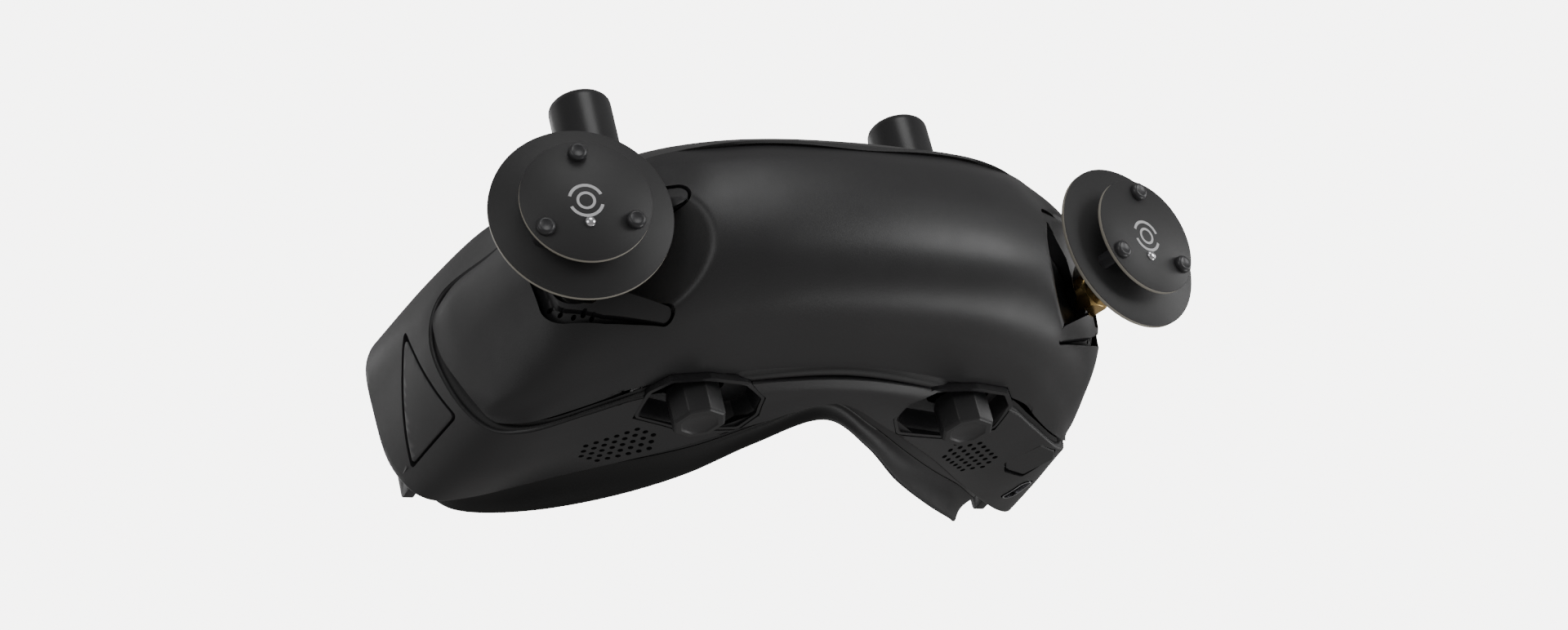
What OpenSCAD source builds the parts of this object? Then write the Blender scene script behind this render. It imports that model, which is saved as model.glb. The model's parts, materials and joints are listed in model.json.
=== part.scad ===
// FPV goggles: two-piece shell, two sliding optics pods with focus knobs, two turning
// patch antennas on the front and two stub antennas on top.
// All modules are drawn about a datum midway between the two patch antennas, front towards
// -Y, and at_datum() then stands the whole object on Z = 0, centred on the origin.

/* [Shell] */
// Wall thickness of the front cover and the rear housing
wall = 2.2; // [1.6:0.1:2.6]
// Width of the open groove that the seam gasket fills
gasket_w = 1.6; // [1.2:0.1:2]
// Diameter of each grille hole in the bottom face
grille_hole_d = 1.2; // [0.8:0.1:1.4]

/* [Optics] */
// Distance between the two lens axes at rest
ipd = 64.6; // [63:0.1:66]
// Travel of each optics pod to either side
ipd_travel = 3.7; // [2:0.1:3.7]
// Outside diameter of an optics pod
pod_d = 33; // [30:0.5:33]
// Travel of each eyepiece to the front and to the back
focus_travel = 3; // [1:0.1:3]
// Distance of the crank pin from the knob axis
crank_r = 4; // [3.5:0.1:4]
// Diameter of the guide rods
rod_d = 3; // [2:0.5:3]

/* [Knobs] */
// Width of a focus knob across its corners
knob_d = 12; // [10:0.5:12]
// Depth of the pockets that the knobs stand in
pocket_depth = 4.5; // [3:0.5:5]

/* [Patch antennas] */
// Diameter of the rear disc of a patch antenna
ground_d = 38; // [36:0.5:38]
// Diameter of the front disc of a patch antenna
patch_d = 27; // [24:0.5:28]
// Gap between the two discs
patch_gap = 4.6; // [4:0.1:5]
// Thickness of each disc
disc_t = 1; // [0.8:0.1:1.2]
// Distance from the disc centre down to the feed pin, which is the connector axis
feed_drop = 4.9; // [4.5:0.1:5]
// Outward angle of the antenna axis, seen from above
toe = 13.25; // [12:0.25:14]
// Downward angle of the antenna axis
dip = 5.85; // [5:0.05:6]

/* [Stub antennas] */
// Diameter of the stub antennas
stub_d = 14; // [12:0.5:15]
// Height of the top of the stub antennas above the datum
stub_top = 55.5; // [50:0.5:60]

/* [Hidden] */

// Where the datum lies when the object stands centred on the origin
datum_y = -44.65;
datum_z = 30;

// Colours
charcoal = [0.16, 0.16, 0.17];
black = [0.07, 0.07, 0.08];
dark_grey = [0.22, 0.22, 0.24];
gold = [0.83, 0.66, 0.3];
steel = [0.7, 0.7, 0.72];
board_green = [0.05, 0.28, 0.16];

// ---- the cover's lines, right half: one row per level, from the centre to the side seam ----
cover_lines = [
    // top seam
    [[0, -6, 18], [20, -5, 18], [33, -2.2, 17.7], [42, 1, 17.5], [49, 6, 17.4], [55, 12.5, 17.4],
        [60, 22, 17.4], [63.5, 32, 17.3], [66.5, 42, 17], [71, 51.5, 16], [75, 57.5, 11]],
    // brow ridge
    [[0, -10.2, 10.5], [21, -8.8, 10.5], [35, -5.6, 10.8], [44, -1, 11.5], [52, 3.5, 11.5],
        [58.5, 9.5, 11.5], [64, 19, 11.5], [67.8, 30, 11.5], [70.8, 41, 11.5], [73.6, 50.5, 10.5],
        [75.2, 57.8, 7]],
    // widest line of the face
    [[0, -12, 0], [21.5, -10.6, 0], [35.5, -7.6, 0], [44.5, -4, 0], [53, 1.5, 0], [60, 7.5, 0],
        [66, 17, 0], [69.6, 28.5, 0], [72.3, 40, 0], [74.2, 49.5, -0.5], [75, 56.5, 0]],
    // lower face
    [[0, -10.5, -11], [21.3, -9.2, -11], [35.2, -6.2, -11], [44.3, -2, -11], [53, 4, -11],
        [60, 10.5, -11], [65.6, 19.5, -11], [68.8, 30, -11], [71.2, 40, -11], [72.8, 46.5, -10.5],
        [74, 52, -9.5]],
    // chin
    [[0, -4, -18.8], [20.6, -2.6, -18.8], [34, 0.8, -18.8], [44, 5, -18.8], [51.5, 11, -18.8],
        [58, 17, -18.8], [63.3, 24.5, -18.8], [66.5, 33, -18.6], [69, 40, -18], [71, 45.5, -17],
        [72, 50.2, -15.5]],
    // under the chin
    [[0, 6, -21.3], [19.8, 7.5, -21.3], [31.5, 10.5, -21.5], [42, 15, -21.8], [48.5, 20, -22],
        [54, 25.5, -22.1], [59.5, 31.5, -22.2], [63.5, 37.5, -22], [66.8, 42.5, -21],
        [69, 46.2, -20], [70.8, 49.2, -18.6]],
    // bottom seam
    [[0, 19, -22], [19, 21, -22.3], [30, 23.3, -22.7], [41, 26.6, -23], [47.9, 29.5, -23.3],
        [52.8, 34, -23.5], [58.4, 38.8, -23.5], [62.5, 41.5, -23.6], [65.5, 43.5, -23.3],
        [68, 46, -22], [69.6, 47.9, -20.6]]
];

// ---- the housing's rings, right half: top centre, round the side, to bottom centre ----
housing_rings = [
    // behind the seam
    [[0, -4.9, 18.6], [18, -4, 18.6], [33, -1.2, 18.3], [45, 4.8, 18.1], [54.5, 14.5, 17.9],
        [61, 28, 17.8], [66, 42.5, 17.6], [72.6, 55.5, 15.8], [75.6, 59.3, 6], [74.8, 55.6, -9],
        [70.8, 50.6, -20.3], [64.5, 45, -24.4], [54, 36.8, -24.6], [43, 29.3, -24.4],
        [22, 23.6, -24], [0, 21.2, -23.6]],
    // brow ledge
    [[0, 3, 24.3], [17, 4, 24.4], [31, 7.5, 24.8], [42.5, 14, 25.5], [51, 24.5, 26.5],
        [57, 36.5, 27.5], [63, 50, 28.5], [73.2, 60.5, 18.6], [76.2, 64.5, 6], [75.2, 61, -9],
        [71, 56, -20.5], [63.5, 51, -24.8], [52.5, 42.5, -25], [40, 33.8, -25], [20, 26.2, -25],
        [0, 23.2, -24.6]],
    // middle
    [[0, 22, 29], [16, 23, 29], [30, 27, 29.2], [41, 33, 29.5], [50, 42, 29.5], [57, 50, 29.3],
        [67, 66, 28.6], [75.4, 74, 19], [77.2, 76, 6], [76.2, 73, -9], [71.8, 67, -20.5],
        [63.5, 61.5, -24.5], [50, 51.5, -25.2], [37, 41.8, -25.5], [19, 31.5, -25.3],
        [0, 25.4, -25]],
    // back edge
    [[0, 56, 29.5], [18, 58, 29.5], [33, 63, 29.5], [45, 69, 29.3], [56, 76.5, 28.8],
        [64, 83.5, 28.2], [72, 91, 27], [77.5, 90.5, 19], [78.2, 89.5, 6], [77.2, 88, -8],
        [73.8, 82.5, -19], [66, 77.5, -22], [49, 63.3, -24], [33, 48, -26.8], [15, 35.8, -26.3],
        [0, 28.5, -25.3]]
];

// ---- the pad's edge against the face, right half, from the top centre to the nose ----
face_edge = [
    [0, 70, 27], [18, 71.5, 27], [33, 75.5, 26.5], [45, 81, 25.5], [55, 88, 23.5], [62, 95, 19],
    [65.5, 99.5, 11], [66.5, 100.5, 1], [65.5, 97, -9], [62.5, 89.3, -18], [53.3, 76, -25.5],
    [40, 64, -28.8], [26.3, 53, -29.2], [13.9, 42, -27.6], [0, 34.5, -25.6]
];
// the same edge where the pad sits on its frame
pad_root = [
    [0, 59, 24], [18, 61, 24], [33, 66, 24], [45, 72, 23.5], [55, 79, 22.5], [63, 85.5, 19.5],
    [66.8, 88.5, 12], [68, 88.5, 2], [67, 87.5, -8], [64, 81, -17], [52, 68.5, -21],
    [39, 57.5, -24], [26, 46.5, -26], [13, 37.5, -25], [0, 31.5, -23]
];
pad_t = 7;

// ---- curves and lofts ----
function mirrored(p) = [-p[0], p[1], p[2]];
function both_sides(pts) =
    concat([for (i = [len(pts) - 1:-1:1]) mirrored(pts[i])], pts);
function full_ring(pts) =
    concat(pts, [for (i = [len(pts) - 2:-1:1]) mirrored(pts[i])]);
function curve_at(a, b, c, d, t) = 0.5 * (2 * b + (c - a) * t
    + (2 * a - 5 * b + 4 * c - d) * t * t + (3 * b - a - 3 * c + d) * t * t * t);
function clamped(i, n) = max(0, min(n - 1, i));
function smooth_open(p, steps) = concat(
    [for (i = [0:len(p) - 2], k = [0:steps - 1])
        curve_at(p[clamped(i - 1, len(p))], p[i], p[i + 1], p[clamped(i + 2, len(p))], k / steps)],
    [p[len(p) - 1]]);
function smooth_ring(p, steps) =
    let (n = len(p))
    [for (i = [0:n - 1], k = [0:steps - 1])
        curve_at(p[(i + n - 1) % n], p[i], p[(i + 1) % n], p[(i + 2) % n], k / steps)];
function transposed(g) = [for (j = [0:len(g[0]) - 1]) [for (i = [0:len(g) - 1]) g[i][j]]];
function unit(v) = v / norm(v);
// Moves each point of an open grid along its surface normal, by d times row direction
// crossed with column direction
function offset_open(g, d) =
    let (n = len(g), m = len(g[0]))
    [for (i = [0:n - 1]) [for (j = [0:m - 1])
        let (u = g[clamped(i + 1, n)][j] - g[clamped(i - 1, n)][j],
            v = g[i][clamped(j + 1, m)] - g[i][clamped(j - 1, m)])
        g[i][j] + d * unit(cross(u, v))]];
function offset_rings(g, d) =
    let (n = len(g), m = len(g[0]))
    [for (i = [0:n - 1]) [for (j = [0:m - 1])
        let (u = g[clamped(i + 1, n)][j] - g[clamped(i - 1, n)][j],
            v = g[i][(j + 1) % m] - g[i][(j + m - 1) % m])
        g[i][j] + d * unit(cross(u, v))]];
function middle(row) = [for (k = [0:2]) [for (p = row) p[k]] * [for (p = row) 1] / len(row)];
function moved(row, by) = [for (p = row) p + by];
// Pulls a ring towards the Y axis by d
function narrowed(row, d) = [for (p = row) p - d * unit([p[0], 0, p[2]])];

// A closed solid through rows of points. Each row is a loop, and both ends are capped.
module loft(rows) {
    n = len(rows);
    m = len(rows[0]);
    pts = concat([for (r = rows) each r], [middle(rows[0]), middle(rows[n - 1])]);
    walls = [for (i = [0:n - 2], j = [0:m - 1])
        let (k = (j + 1) % m)
        each [[i * m + j, (i + 1) * m + j, (i + 1) * m + k], [i * m + j, (i + 1) * m + k, i * m + k]]];
    first = [for (j = [0:m - 1]) [n * m, j, (j + 1) % m]];
    last = [for (j = [0:m - 1]) [n * m + 1, (n - 1) * m + (j + 1) % m, (n - 1) * m + j]];
    polyhedron(pts, concat(walls, first, last));
}
// A closed ring-shaped solid through rows of points, joined end to end
module loop_loft(rows) {
    n = len(rows);
    m = len(rows[0]);
    pts = [for (r = rows) each r];
    walls = [for (i = [0:n - 1], j = [0:m - 1])
        let (k = (j + 1) % m, q = (i + 1) % n)
        each [[i * m + j, q * m + j, q * m + k], [i * m + j, q * m + k, i * m + k]]];
    polyhedron(pts, walls);
}
// A tube of radius r along a route, with eight sides
module tube_along(route, r) {
    n = len(route);
    loft([for (i = [0:n - 1])
        let (t = unit(route[clamped(i + 1, n)] - route[clamped(i - 1, n)]),
            a = unit(cross(t, [0.31, 0.17, 0.93])),
            b = cross(t, a))
        [for (k = [0:7]) route[i] + r * (cos(45 * k) * a + sin(45 * k) * b)]]);
}

module at_datum() translate([0, datum_y, datum_z]) children();
module on_side(side) {
    if (side < 0) mirror([1, 0, 0]) children();
    else children();
}

// ---- shell ----
cover_rows = [for (r = transposed([for (l = cover_lines) smooth_open(both_sides(l), 2)]))
    smooth_open(r, 3)];
cover_inner = [for (r = offset_open(cover_rows, wall))
    concat(r, [r[len(r) - 1] + [0, 16, 0], r[0] + [0, 16, 0]])];
housing_loops = transposed([for (c = transposed([for (r = housing_rings)
    smooth_ring(full_ring(r), 2)])) smooth_open(c, 3)]);
housing_inner = offset_rings(housing_loops, wall);
last_loop = len(housing_loops) - 1;

// Frame of the right patch antenna: +Z out along the connector, +Y up
disc_x = 65.4;
feed_up = [sin(toe) * sin(dip), -cos(toe) * sin(dip), cos(dip)];
feed = [disc_x, 0, 0] - feed_drop * feed_up;
boss_z = -17.5;
module patch_frame() translate(feed) rotate([0, 0, toe]) rotate([90 + dip, 0, 0]) children();

// Outline of the antenna bay, looking in along the connector
bay_low = [0.5, -4.9];
bay_high = [1.4, 2.2];
bay_mid = [-1.6, -1];
bay_r = 6.4;
module bay_outline(grow) {
    offset(delta = grow) {
        hull() {
            translate([-21.2, 8.7]) circle(r = 2.3, $fn = 20);
            translate([-9, 8]) circle(r = 4, $fn = 24);
        }
        hull() {
            translate([-9, 8]) circle(r = 4, $fn = 24);
            translate(bay_high) circle(r = bay_r, $fn = 32);
        }
        hull() {
            translate([-15.6, -14.4]) circle(r = 1.6, $fn = 20);
            translate([-5, -10.7]) circle(r = 2.8, $fn = 24);
        }
        hull() {
            translate([-5, -10.7]) circle(r = 2.8, $fn = 24);
            translate(bay_low) circle(r = bay_r, $fn = 32);
        }
        hull() {
            translate(bay_high) circle(r = bay_r, $fn = 32);
            translate(bay_mid) circle(r = bay_r, $fn = 32);
            translate(bay_low) circle(r = bay_r, $fn = 32);
        }
    }
}
bay_floor_z = -24;
module bay_cut(grow, low) patch_frame() translate([0, 0, low]) linear_extrude(40) bay_outline(grow);

module front_cover() color(charcoal) at_datum() {
    difference() {
        loft(cover_rows);
        loft(cover_inner);
        for (side = [-1, 1]) on_side(side) {
            bay_cut(0.25, bay_floor_z - 8);
            pocket_cut();
        }
    }
}
// Five small holes in the floor of the bay, below the connector's boss
module bay_vents() patch_frame() for (k = [0:4])
    translate([bay_low[0], bay_low[1], -30]) rotate(-20 - 24 * k) translate([4.2, 0, 0])
        cylinder(h = 10, d = 0.9, $fn = 8);

// Faceted pocket round the right knob
pocket = [[17.6, 33], [18.4, 28], [23, 24.4], [32, 23.2], [39.7, 24.4], [42.8, 28.4], [42.6, 36.2],
    [32, 39.2], [20, 37]];
usb_at = [65, 65];
usb_turn = 10;
door_outline = [[54.1, 51], [59.3, 43.4], [64.4, 46], [65.8, 49.2], [61.5, 56.7], [56, 54.6]];
grille_at = [43, 47.85];
grille_pitch = 2.3;
grille_turn = 40;
nav_at = [52, 50];
record_at = [-48, 47];
back_at = [-57, 56];
audio_at = [67.4, 0.6];
power_at = [67, -7.6];
jack_len = 12.4;
jack_face_x = 76.4;
audio_depth = 12;

module drill_top(at, d) translate([at[0], at[1], 18]) cylinder(h = 20, d = d, $fn = 32);
module slot_2d(length, d) hull() for (s = [-1, 1]) translate([s * (length - d) / 2, 0]) circle(d = d, $fn = 24);
module below(at) translate([at[0], at[1], -40]) children();
module pocket_cut() below([0, 0]) linear_extrude(21) offset(delta = tray_wall + 0.15) polygon(pocket);
module door_cut() below([0, 0]) linear_extrude(21) offset(delta = 0.3) polygon(door_outline);

// Staggered rows of small holes
module grille_holes(d) {
    for (row = [-2:2])
        let (last = 7 - abs(row))
            for (k = [0:last])
                translate([(k - last / 2) * grille_pitch, row * grille_pitch * sin(60)])
                    circle(d = d, $fn = 6);
}

module rear_housing() color(charcoal) at_datum() {
    difference() {
        loft(housing_loops);
        loft(concat([moved(housing_inner[0], [0, -18, 0])], housing_inner,
            [moved(housing_inner[last_loop], [0, 12, 0])]));
        for (side = [-1, 1]) on_side(side) {
            pocket_cut();
            below(grille_at) linear_extrude(21) rotate(grille_turn) grille_holes(grille_hole_d);
            translate([stub_x, stub_y, 20]) cylinder(h = 20, d = 6.7, $fn = 24);
            difference() {
                panel_prism(0.3);
                loft(offset_rings(housing_loops, panel_t + 0.1));
            }
        }
        below(usb_at) linear_extrude(21) rotate(90 + usb_turn) slot_2d(9.4, 3.7);
        door_cut();
        at_hinge() translate([-0.6, -1.5, -3]) cube([hinge_len + 1.2, 3, 6]);
        for (k = [-3:3]) translate([0, 24 + 3.2 * k, 20]) linear_extrude(20) slot_2d(26 - 2 * abs(k), 1.6);
        drill_top(nav_at, 9);
        drill_top(record_at, 7.6);
        drill_top(back_at, 7.6);
        panel_ports();
    }
}

module seam_gasket() color(black) at_datum() difference() {
    gasket_ring();
    for (side = [-1, 1]) on_side(side) pocket_cut();
    door_cut();
}
module gasket_ring() {
    ring = moved(narrowed(housing_loops[0], gasket_w), [0, 0.1, 0]);
    inner = narrowed(ring, gasket_w);
    loop_loft([for (i = [0:len(ring) - 1])
        [ring[i], ring[i] - [0, gasket_w, 0], inner[i] - [0, gasket_w, 0], inner[i]]]);
}

module bay_insert(side) color(black) at_datum() on_side(side) {
    intersection() {
        difference() {
            bay_cut(0, bay_floor_z - 1.4);
            bay_cut(-1.2, bay_floor_z);
            patch_frame() translate([0, 0, -30]) cylinder(h = 10, d = 6.6, $fn = 32);
            bay_vents();
        }
        loft(cover_rows);
    }
    patch_frame() difference() {
        hull() {
            translate([0, 0, bay_floor_z - 0.6]) linear_extrude(1) boss_outline(0);
            translate([0, 0, boss_z - 1]) linear_extrude(1) boss_outline(-0.8);
        }
        translate([0, 0, -30]) cylinder(h = 30, d = 6.6, $fn = 32);
    }
}
module boss_outline(grow) offset(delta = grow) hull() {
    translate([0, 0.4]) circle(r = 5.6, $fn = 32);
    translate([-0.8, -3.8]) circle(r = 4.2, $fn = 32);
}

// Triangular panel let into the side wall, with raised grip ticks
panel_outline = [[70, 15], [57.5, -13.5], [79.5, -13]];
panel_t = 1.3;
module panel_prism(grow) translate([60, 0, 0]) rotate([90, 0, 90]) linear_extrude(30)
    offset(delta = grow) polygon(panel_outline);
module panel_ports() {
    at_jack(audio_at) cylinder(h = 30, d = 6.4, $fn = 24);
    at_jack(power_at) cylinder(h = 30, d = 9.4, $fn = 24);
}
module tick(y, z, length) hull() for (s = [-1, 1])
    translate([75.4, y + s * 0.2 * length, z + s * 0.45 * length]) cube([1.6, 0.35, 0.35], center = true);
module side_panel(side) color(charcoal) at_datum() on_side(side) difference() {
    union() {
        intersection() {
            panel_prism(-0.3);
            difference() {
                loft(housing_loops);
                loft(offset_rings(housing_loops, panel_t));
            }
        }
        for (k = [0:3]) tick(69.5 + 1.5 * k, -9.5, 2.2);
        for (k = [0:4]) tick(74.5 - 1.1 * k, -1 - 1.2 * k, 1.6);
    }
    if (side > 0) panel_ports();
}

// ---- inner face panel: closes the shell behind the eyepieces and over the nose ----
// right half, rows from the roof down to the floor
face_panel_lines = [
    [[0, 56, 26], [16, 57.5, 26], [30, 62, 26], [42, 67.5, 25.5], [52, 73.5, 24.5], [61, 81, 22.5],
        [67, 86, 14]],
    [[0, 48, 18.5], [16, 48, 18.5], [30, 48, 18.5], [42, 48, 18.5], [52, 49.5, 18], [60, 62, 14],
        [68, 85.5, 8]],
    [[0, 46, 6], [14, 48, -2], [26, 48, -12], [40, 48, -16], [52, 50, -15.5], [60, 62, -12],
        [67.5, 84.5, -4]],
    [[0, 27, -21.5], [13, 32.8, -22.3], [26, 42.5, -23.3], [39, 53, -22.3], [50, 62.5, -20.5],
        [58, 70.5, -19], [65.5, 82, -13]]
];
panel_sheet_t = 1.6;
face_panel_rows = transposed([for (l = face_panel_lines) smooth_open(both_sides(l), 3)]);
module eye_opening() translate([0, 20, pod_z]) rotate([-90, 0, 0]) linear_extrude(60)
    hull() for (s = [-1, 1])
        translate([ipd / 2 + s * ipd_travel, 0]) circle(d = pod_d + 1.6, $fn = 48);
module sheet(g, t) {
    back = offset_open(g, t);
    loft([for (i = [0:len(g) - 1]) concat(g[i], [for (j = [len(g[0]) - 1:-1:0]) back[i][j]])]);
}
module inner_face_panel() color(black) at_datum() difference() {
    union() {
        sheet([for (r = face_panel_rows) smooth_open(r, 2)], panel_sheet_t);
        for (k = [-3:3]) hull() for (z = [-2, 2])
            translate([0, 47.4 - 0.6 * abs(k), 13 + 0.8 * k + z * 0.05]) sphere(r = 0.5, $fn = 12);
    }
    for (side = [-1, 1]) on_side(side) eye_opening();
}

// ---- soft face pad and the frame that carries it ----
frame_w = 3;
frame_front = 1.6;
frame_back = 0.3;
module face_frame() color(black) at_datum() {
    near = narrowed(full_ring(pad_root), 0.2);
    inner = narrowed(near, frame_w);
    loop_loft([for (i = [0:len(near) - 1])
        [near[i] - [0, frame_back, 0], near[i] - [0, frame_front, 0],
            inner[i] - [0, frame_front, 0], inner[i] - [0, frame_back, 0]]]);
}
module face_pad() color(black) at_datum() {
    root = smooth_ring(full_ring(pad_root), 2);
    edge = smooth_ring(full_ring(face_edge), 2);
    loop_loft([for (i = [0:len(root) - 1])
        let (r = root[i], e = edge[i], w = pad_t * unit([-r[0], 0, -r[2]]))
        [r + 0.8 * w, (r + e) / 2 + w, e + w - [0, 1, 0], e + 0.5 * w + [0, 0.8, 0], e,
            (r + e) / 2 + 0.06 * w, r]]);
}

// ---- optics ----
pod_z = 1;
pod_wall = 1.8;
pod_front_y = 24;
pod_back_y = 52;
rod_z = 20;
rod_ys = [30, 43];
rod_half = 50;
slide_gap = 0.12;
lug_w = 14;
barrel_gap = 0.4;
barrel_d = pod_d - 2 * pod_wall - 2 * barrel_gap;
barrel_wall = 1.6;
barrel_front_y = 35;
barrel_back_y = 56;
knob_x = ipd / 2;
knob_y = 30.5;
shaft_d = 6;
bracket_w = 18;
bush_low_z = -18.9;
bush_high_z = -17;
crank_low_z = -16.6;
crank_high_z = -15.9;
pin_d = 2;
yoke_low_z = -15.6;
yoke_t = 1.2;
slot_h = pin_d + 0.7;

module along_y(x, y, z) translate([x, y, z]) rotate([-90, 0, 0]) children();

module optic_pod(side) color(dark_grey) at_datum() on_side(side) {
    difference() {
        union() {
            along_y(knob_x, pod_front_y, pod_z) cylinder(h = pod_back_y - pod_front_y, d = pod_d);
            for (y = rod_ys) translate([knob_x - lug_w / 2, y - 3, pod_z + 12])
                cube([lug_w, 6, rod_z + 2.8 - pod_z - 12]);
            translate([knob_x - bracket_w / 2, pod_front_y, bush_low_z]) cube([bracket_w, 2.2, 8]);
            translate([knob_x - bracket_w / 2, pod_front_y, bush_low_z])
                cube([bracket_w, 12.5, bush_high_z - bush_low_z]);
        }
        along_y(knob_x, pod_front_y + 2, pod_z)
            cylinder(h = pod_back_y - pod_front_y, d = pod_d - 2 * pod_wall);
        along_y(knob_x, pod_front_y - 1, pod_z) cylinder(h = 4, d = 22);
        for (y = rod_ys) translate([0, y, rod_z]) rotate([0, 90, 0])
            cylinder(h = 100, d = rod_d + 2 * slide_gap);
        translate([knob_x, knob_y, bush_low_z - 1])
            cylinder(h = 5, d = shaft_d + 0.3);
        translate([knob_x - bracket_w / 2 - 0.5, pod_front_y + 2.2, bush_high_z])
            cube([bracket_w + 1, 20, 7.5]);
        translate([knob_x - 6, pod_front_y - 1, bush_high_z]) cube([13, 4, 3.2]);
    }
}
module display(side) color("dimgray") at_datum() on_side(side) {
    translate([knob_x - 9, pod_front_y - 2.4, pod_z - 8]) cube([18, 2.2, 16]);
    translate([knob_x - 7, pod_front_y - 0.2, pod_z - 6]) cube([14, 0.8, 12]);
}
module eyepiece(side) color(black) at_datum() on_side(side) {
    difference() {
        union() {
            along_y(knob_x, barrel_front_y, pod_z)
                cylinder(h = barrel_back_y - barrel_front_y, d = barrel_d);
            translate([knob_x - 5, barrel_front_y, yoke_low_z]) cube([10, 4, 6]);
        }
        along_y(knob_x, barrel_front_y - 1, pod_z)
            cylinder(h = barrel_back_y - barrel_front_y + 2, d = barrel_d - 2 * barrel_wall);
    }
    difference() {
        translate([knob_x - 2, knob_y - slot_h / 2 - 1.4, yoke_low_z])
            cube([8, barrel_front_y - knob_y + slot_h / 2 + 1.4, yoke_t]);
        translate([knob_x + 1.2, knob_y - slot_h / 2, yoke_low_z - 1])
            cube([crank_r - 1.2 + pin_d / 2 + 0.35, slot_h, yoke_t + 2]);
    }
}
lens_d = barrel_d - 2 * barrel_wall;
lens_r = 26;
module eye_lens(side) color("lightblue") at_datum() on_side(side) intersection() {
    along_y(knob_x, barrel_front_y, pod_z) cylinder(h = 30, d = lens_d);
    translate([knob_x, barrel_back_y - 1.5 - lens_r, pod_z]) sphere(r = lens_r, $fn = 120);
    translate([knob_x, barrel_back_y - 8.5 + lens_r, pod_z]) sphere(r = lens_r, $fn = 120);
}
module focus_knob(side) color(dark_grey) at_datum() on_side(side) translate([knob_x, knob_y, 0]) {
    translate([0, 0, -datum_z]) cylinder(h = datum_z - 25 + pocket_depth - 0.6, d = knob_d, $fn = 8);
    translate([0, 0, -26]) cylinder(h = crank_low_z + 26, d = shaft_d);
    translate([0, 0, crank_low_z]) cylinder(h = crank_high_z - crank_low_z, r = crank_r + pin_d / 2 + 0.2);
    translate([crank_r, 0, crank_low_z]) cylinder(h = yoke_low_z + yoke_t - crank_low_z, d = pin_d);
}
tray_wall = 1.2;
module knob_tray(side) color(black) at_datum() on_side(side) difference() {
    translate([0, 0, -24.7]) linear_extrude(pocket_depth - 0.3 + tray_wall)
        offset(delta = tray_wall) polygon(pocket);
    translate([0, 0, -30]) linear_extrude(5 + pocket_depth) polygon(pocket);
    translate([knob_x, knob_y, -30]) linear_extrude(20) slot_2d(2 * ipd_travel + shaft_d + 1.4, shaft_d + 1.4);
}
module guide_rods() color(steel) at_datum() for (y = rod_ys)
    translate([-rod_half, y, rod_z]) rotate([0, 90, 0]) cylinder(h = 2 * rod_half, d = rod_d);

// Chassis: beam behind the boards and two cheeks that hold the rods
cheek_x = 48.6;
cheek_t = 2.4;
beam_y = 17;
module chassis() color(dark_grey) at_datum() difference() {
    union() {
        translate([-47, beam_y, -14]) cube([94, 1.8, 28]);
        for (s = [-1, 1]) {
            hull() {
                translate([s * 46 - 1, beam_y, 4]) cube([2, 1.8, 10]);
                translate([s * (cheek_x + cheek_t / 2) - cheek_t / 2, 21.5, 15]) cube([cheek_t, 2, 6.8]);
            }
            translate([s * (cheek_x + cheek_t / 2) - cheek_t / 2, 21.5, 15]) cube([cheek_t, 24.5, 7]);
        }
    }
    for (y = rod_ys) translate([-60, y, rod_z]) rotate([0, 90, 0]) cylinder(h = 120, d = rod_d);
    translate([0, beam_y - 1, 0]) rotate([-90, 0, 0]) cylinder(h = 4, d = 17);
    for (s = [-1, 1]) translate([s * 30 - 11, beam_y - 1, -9]) cube([22, 4, 16]);
    for (x = [-40.5, 40.5], z = [-12, 10]) along_y(x, 11.5, z) cylinder(h = 6.8, d = 2);
}

// ---- electronics ----
module main_board() color(board_green) at_datum() difference() {
    translate([-43, 11.5, -16]) cube([86, 1.4, 30]);
    for (x = [-40.5, 40.5], z = [-12, 10]) along_y(x, 10, z) cylinder(h = 5, d = 2.4);
}
module rf_board() color(board_green) at_datum() {
    translate([-37, 3.6, -13]) cube([74, 1.2, 26]);
    for (s = [-1, 1], z = [0, 9]) along_y(s * 34, 4.8, z) cylinder(h = 1.8, d = 3);
    for (s = [-1, 1]) translate([s * 22 - 6, 4.8, -8]) cube([12, 1.6, 12]);
}
fin_pitch = 3.2;
module heat_sink() color(steel) at_datum() {
    translate([-18, 1.8, -9]) cube([36, 1.8, 20]);
    for (k = [-5:5]) translate([k * fin_pitch - 0.5, -6, -9]) cube([1, 7.8, 20]);
}
fan_y = 19.2;
fan_w = 20;
fan_t = 6;
hub_d = 8;
module fan_frame() color(black) at_datum() difference() {
    translate([-fan_w / 2, fan_y, -fan_w / 2]) cube([fan_w, fan_t, fan_w]);
    along_y(0, fan_y + 1, 0) cylinder(h = fan_t, d = 18);
    for (a = [0:120:240]) rotate([0, a, 0]) translate([0, fan_y - 1, 6.2]) rotate([-90, 0, 0])
        cylinder(h = 4, d = 5);
}
module fan_rotor() color(black) at_datum() {
    along_y(0, fan_y + 1.3, 0) cylinder(h = fan_t - 1.6, d = hub_d);
    for (a = [0:40:320]) rotate([0, a, 0]) translate([0, fan_y + fan_t / 2 + 0.4, 6])
        rotate([0, 0, 35]) cube([0.6, 4.6, 5], center = true);
}
board_z = 23.1;
board_t = 0.9;
trunnion_d = 1;
module control_boards() color(board_green) at_datum() {
    translate([46, 44, board_z]) cube([12, 12, board_t]);
    translate([-60, 44, board_z]) cube([16, 13, board_t]);
    for (at = [record_at, back_at]) translate([at[0], at[1], board_z + board_t]) cylinder(h = 0.5, d = 3);
    difference() {
        for (s = [-1, 1]) translate([nav_at[0] + 4.2 * s - 0.5, nav_at[1] - 1, board_z + board_t])
            cube([1, 2, nav_pivot_z + 0.8 - board_z - board_t]);
        translate([nav_at[0] - 8, nav_at[1], nav_pivot_z]) rotate([0, 90, 0])
            cylinder(h = 16, d = trunnion_d + 0.1);
    }
}
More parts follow.
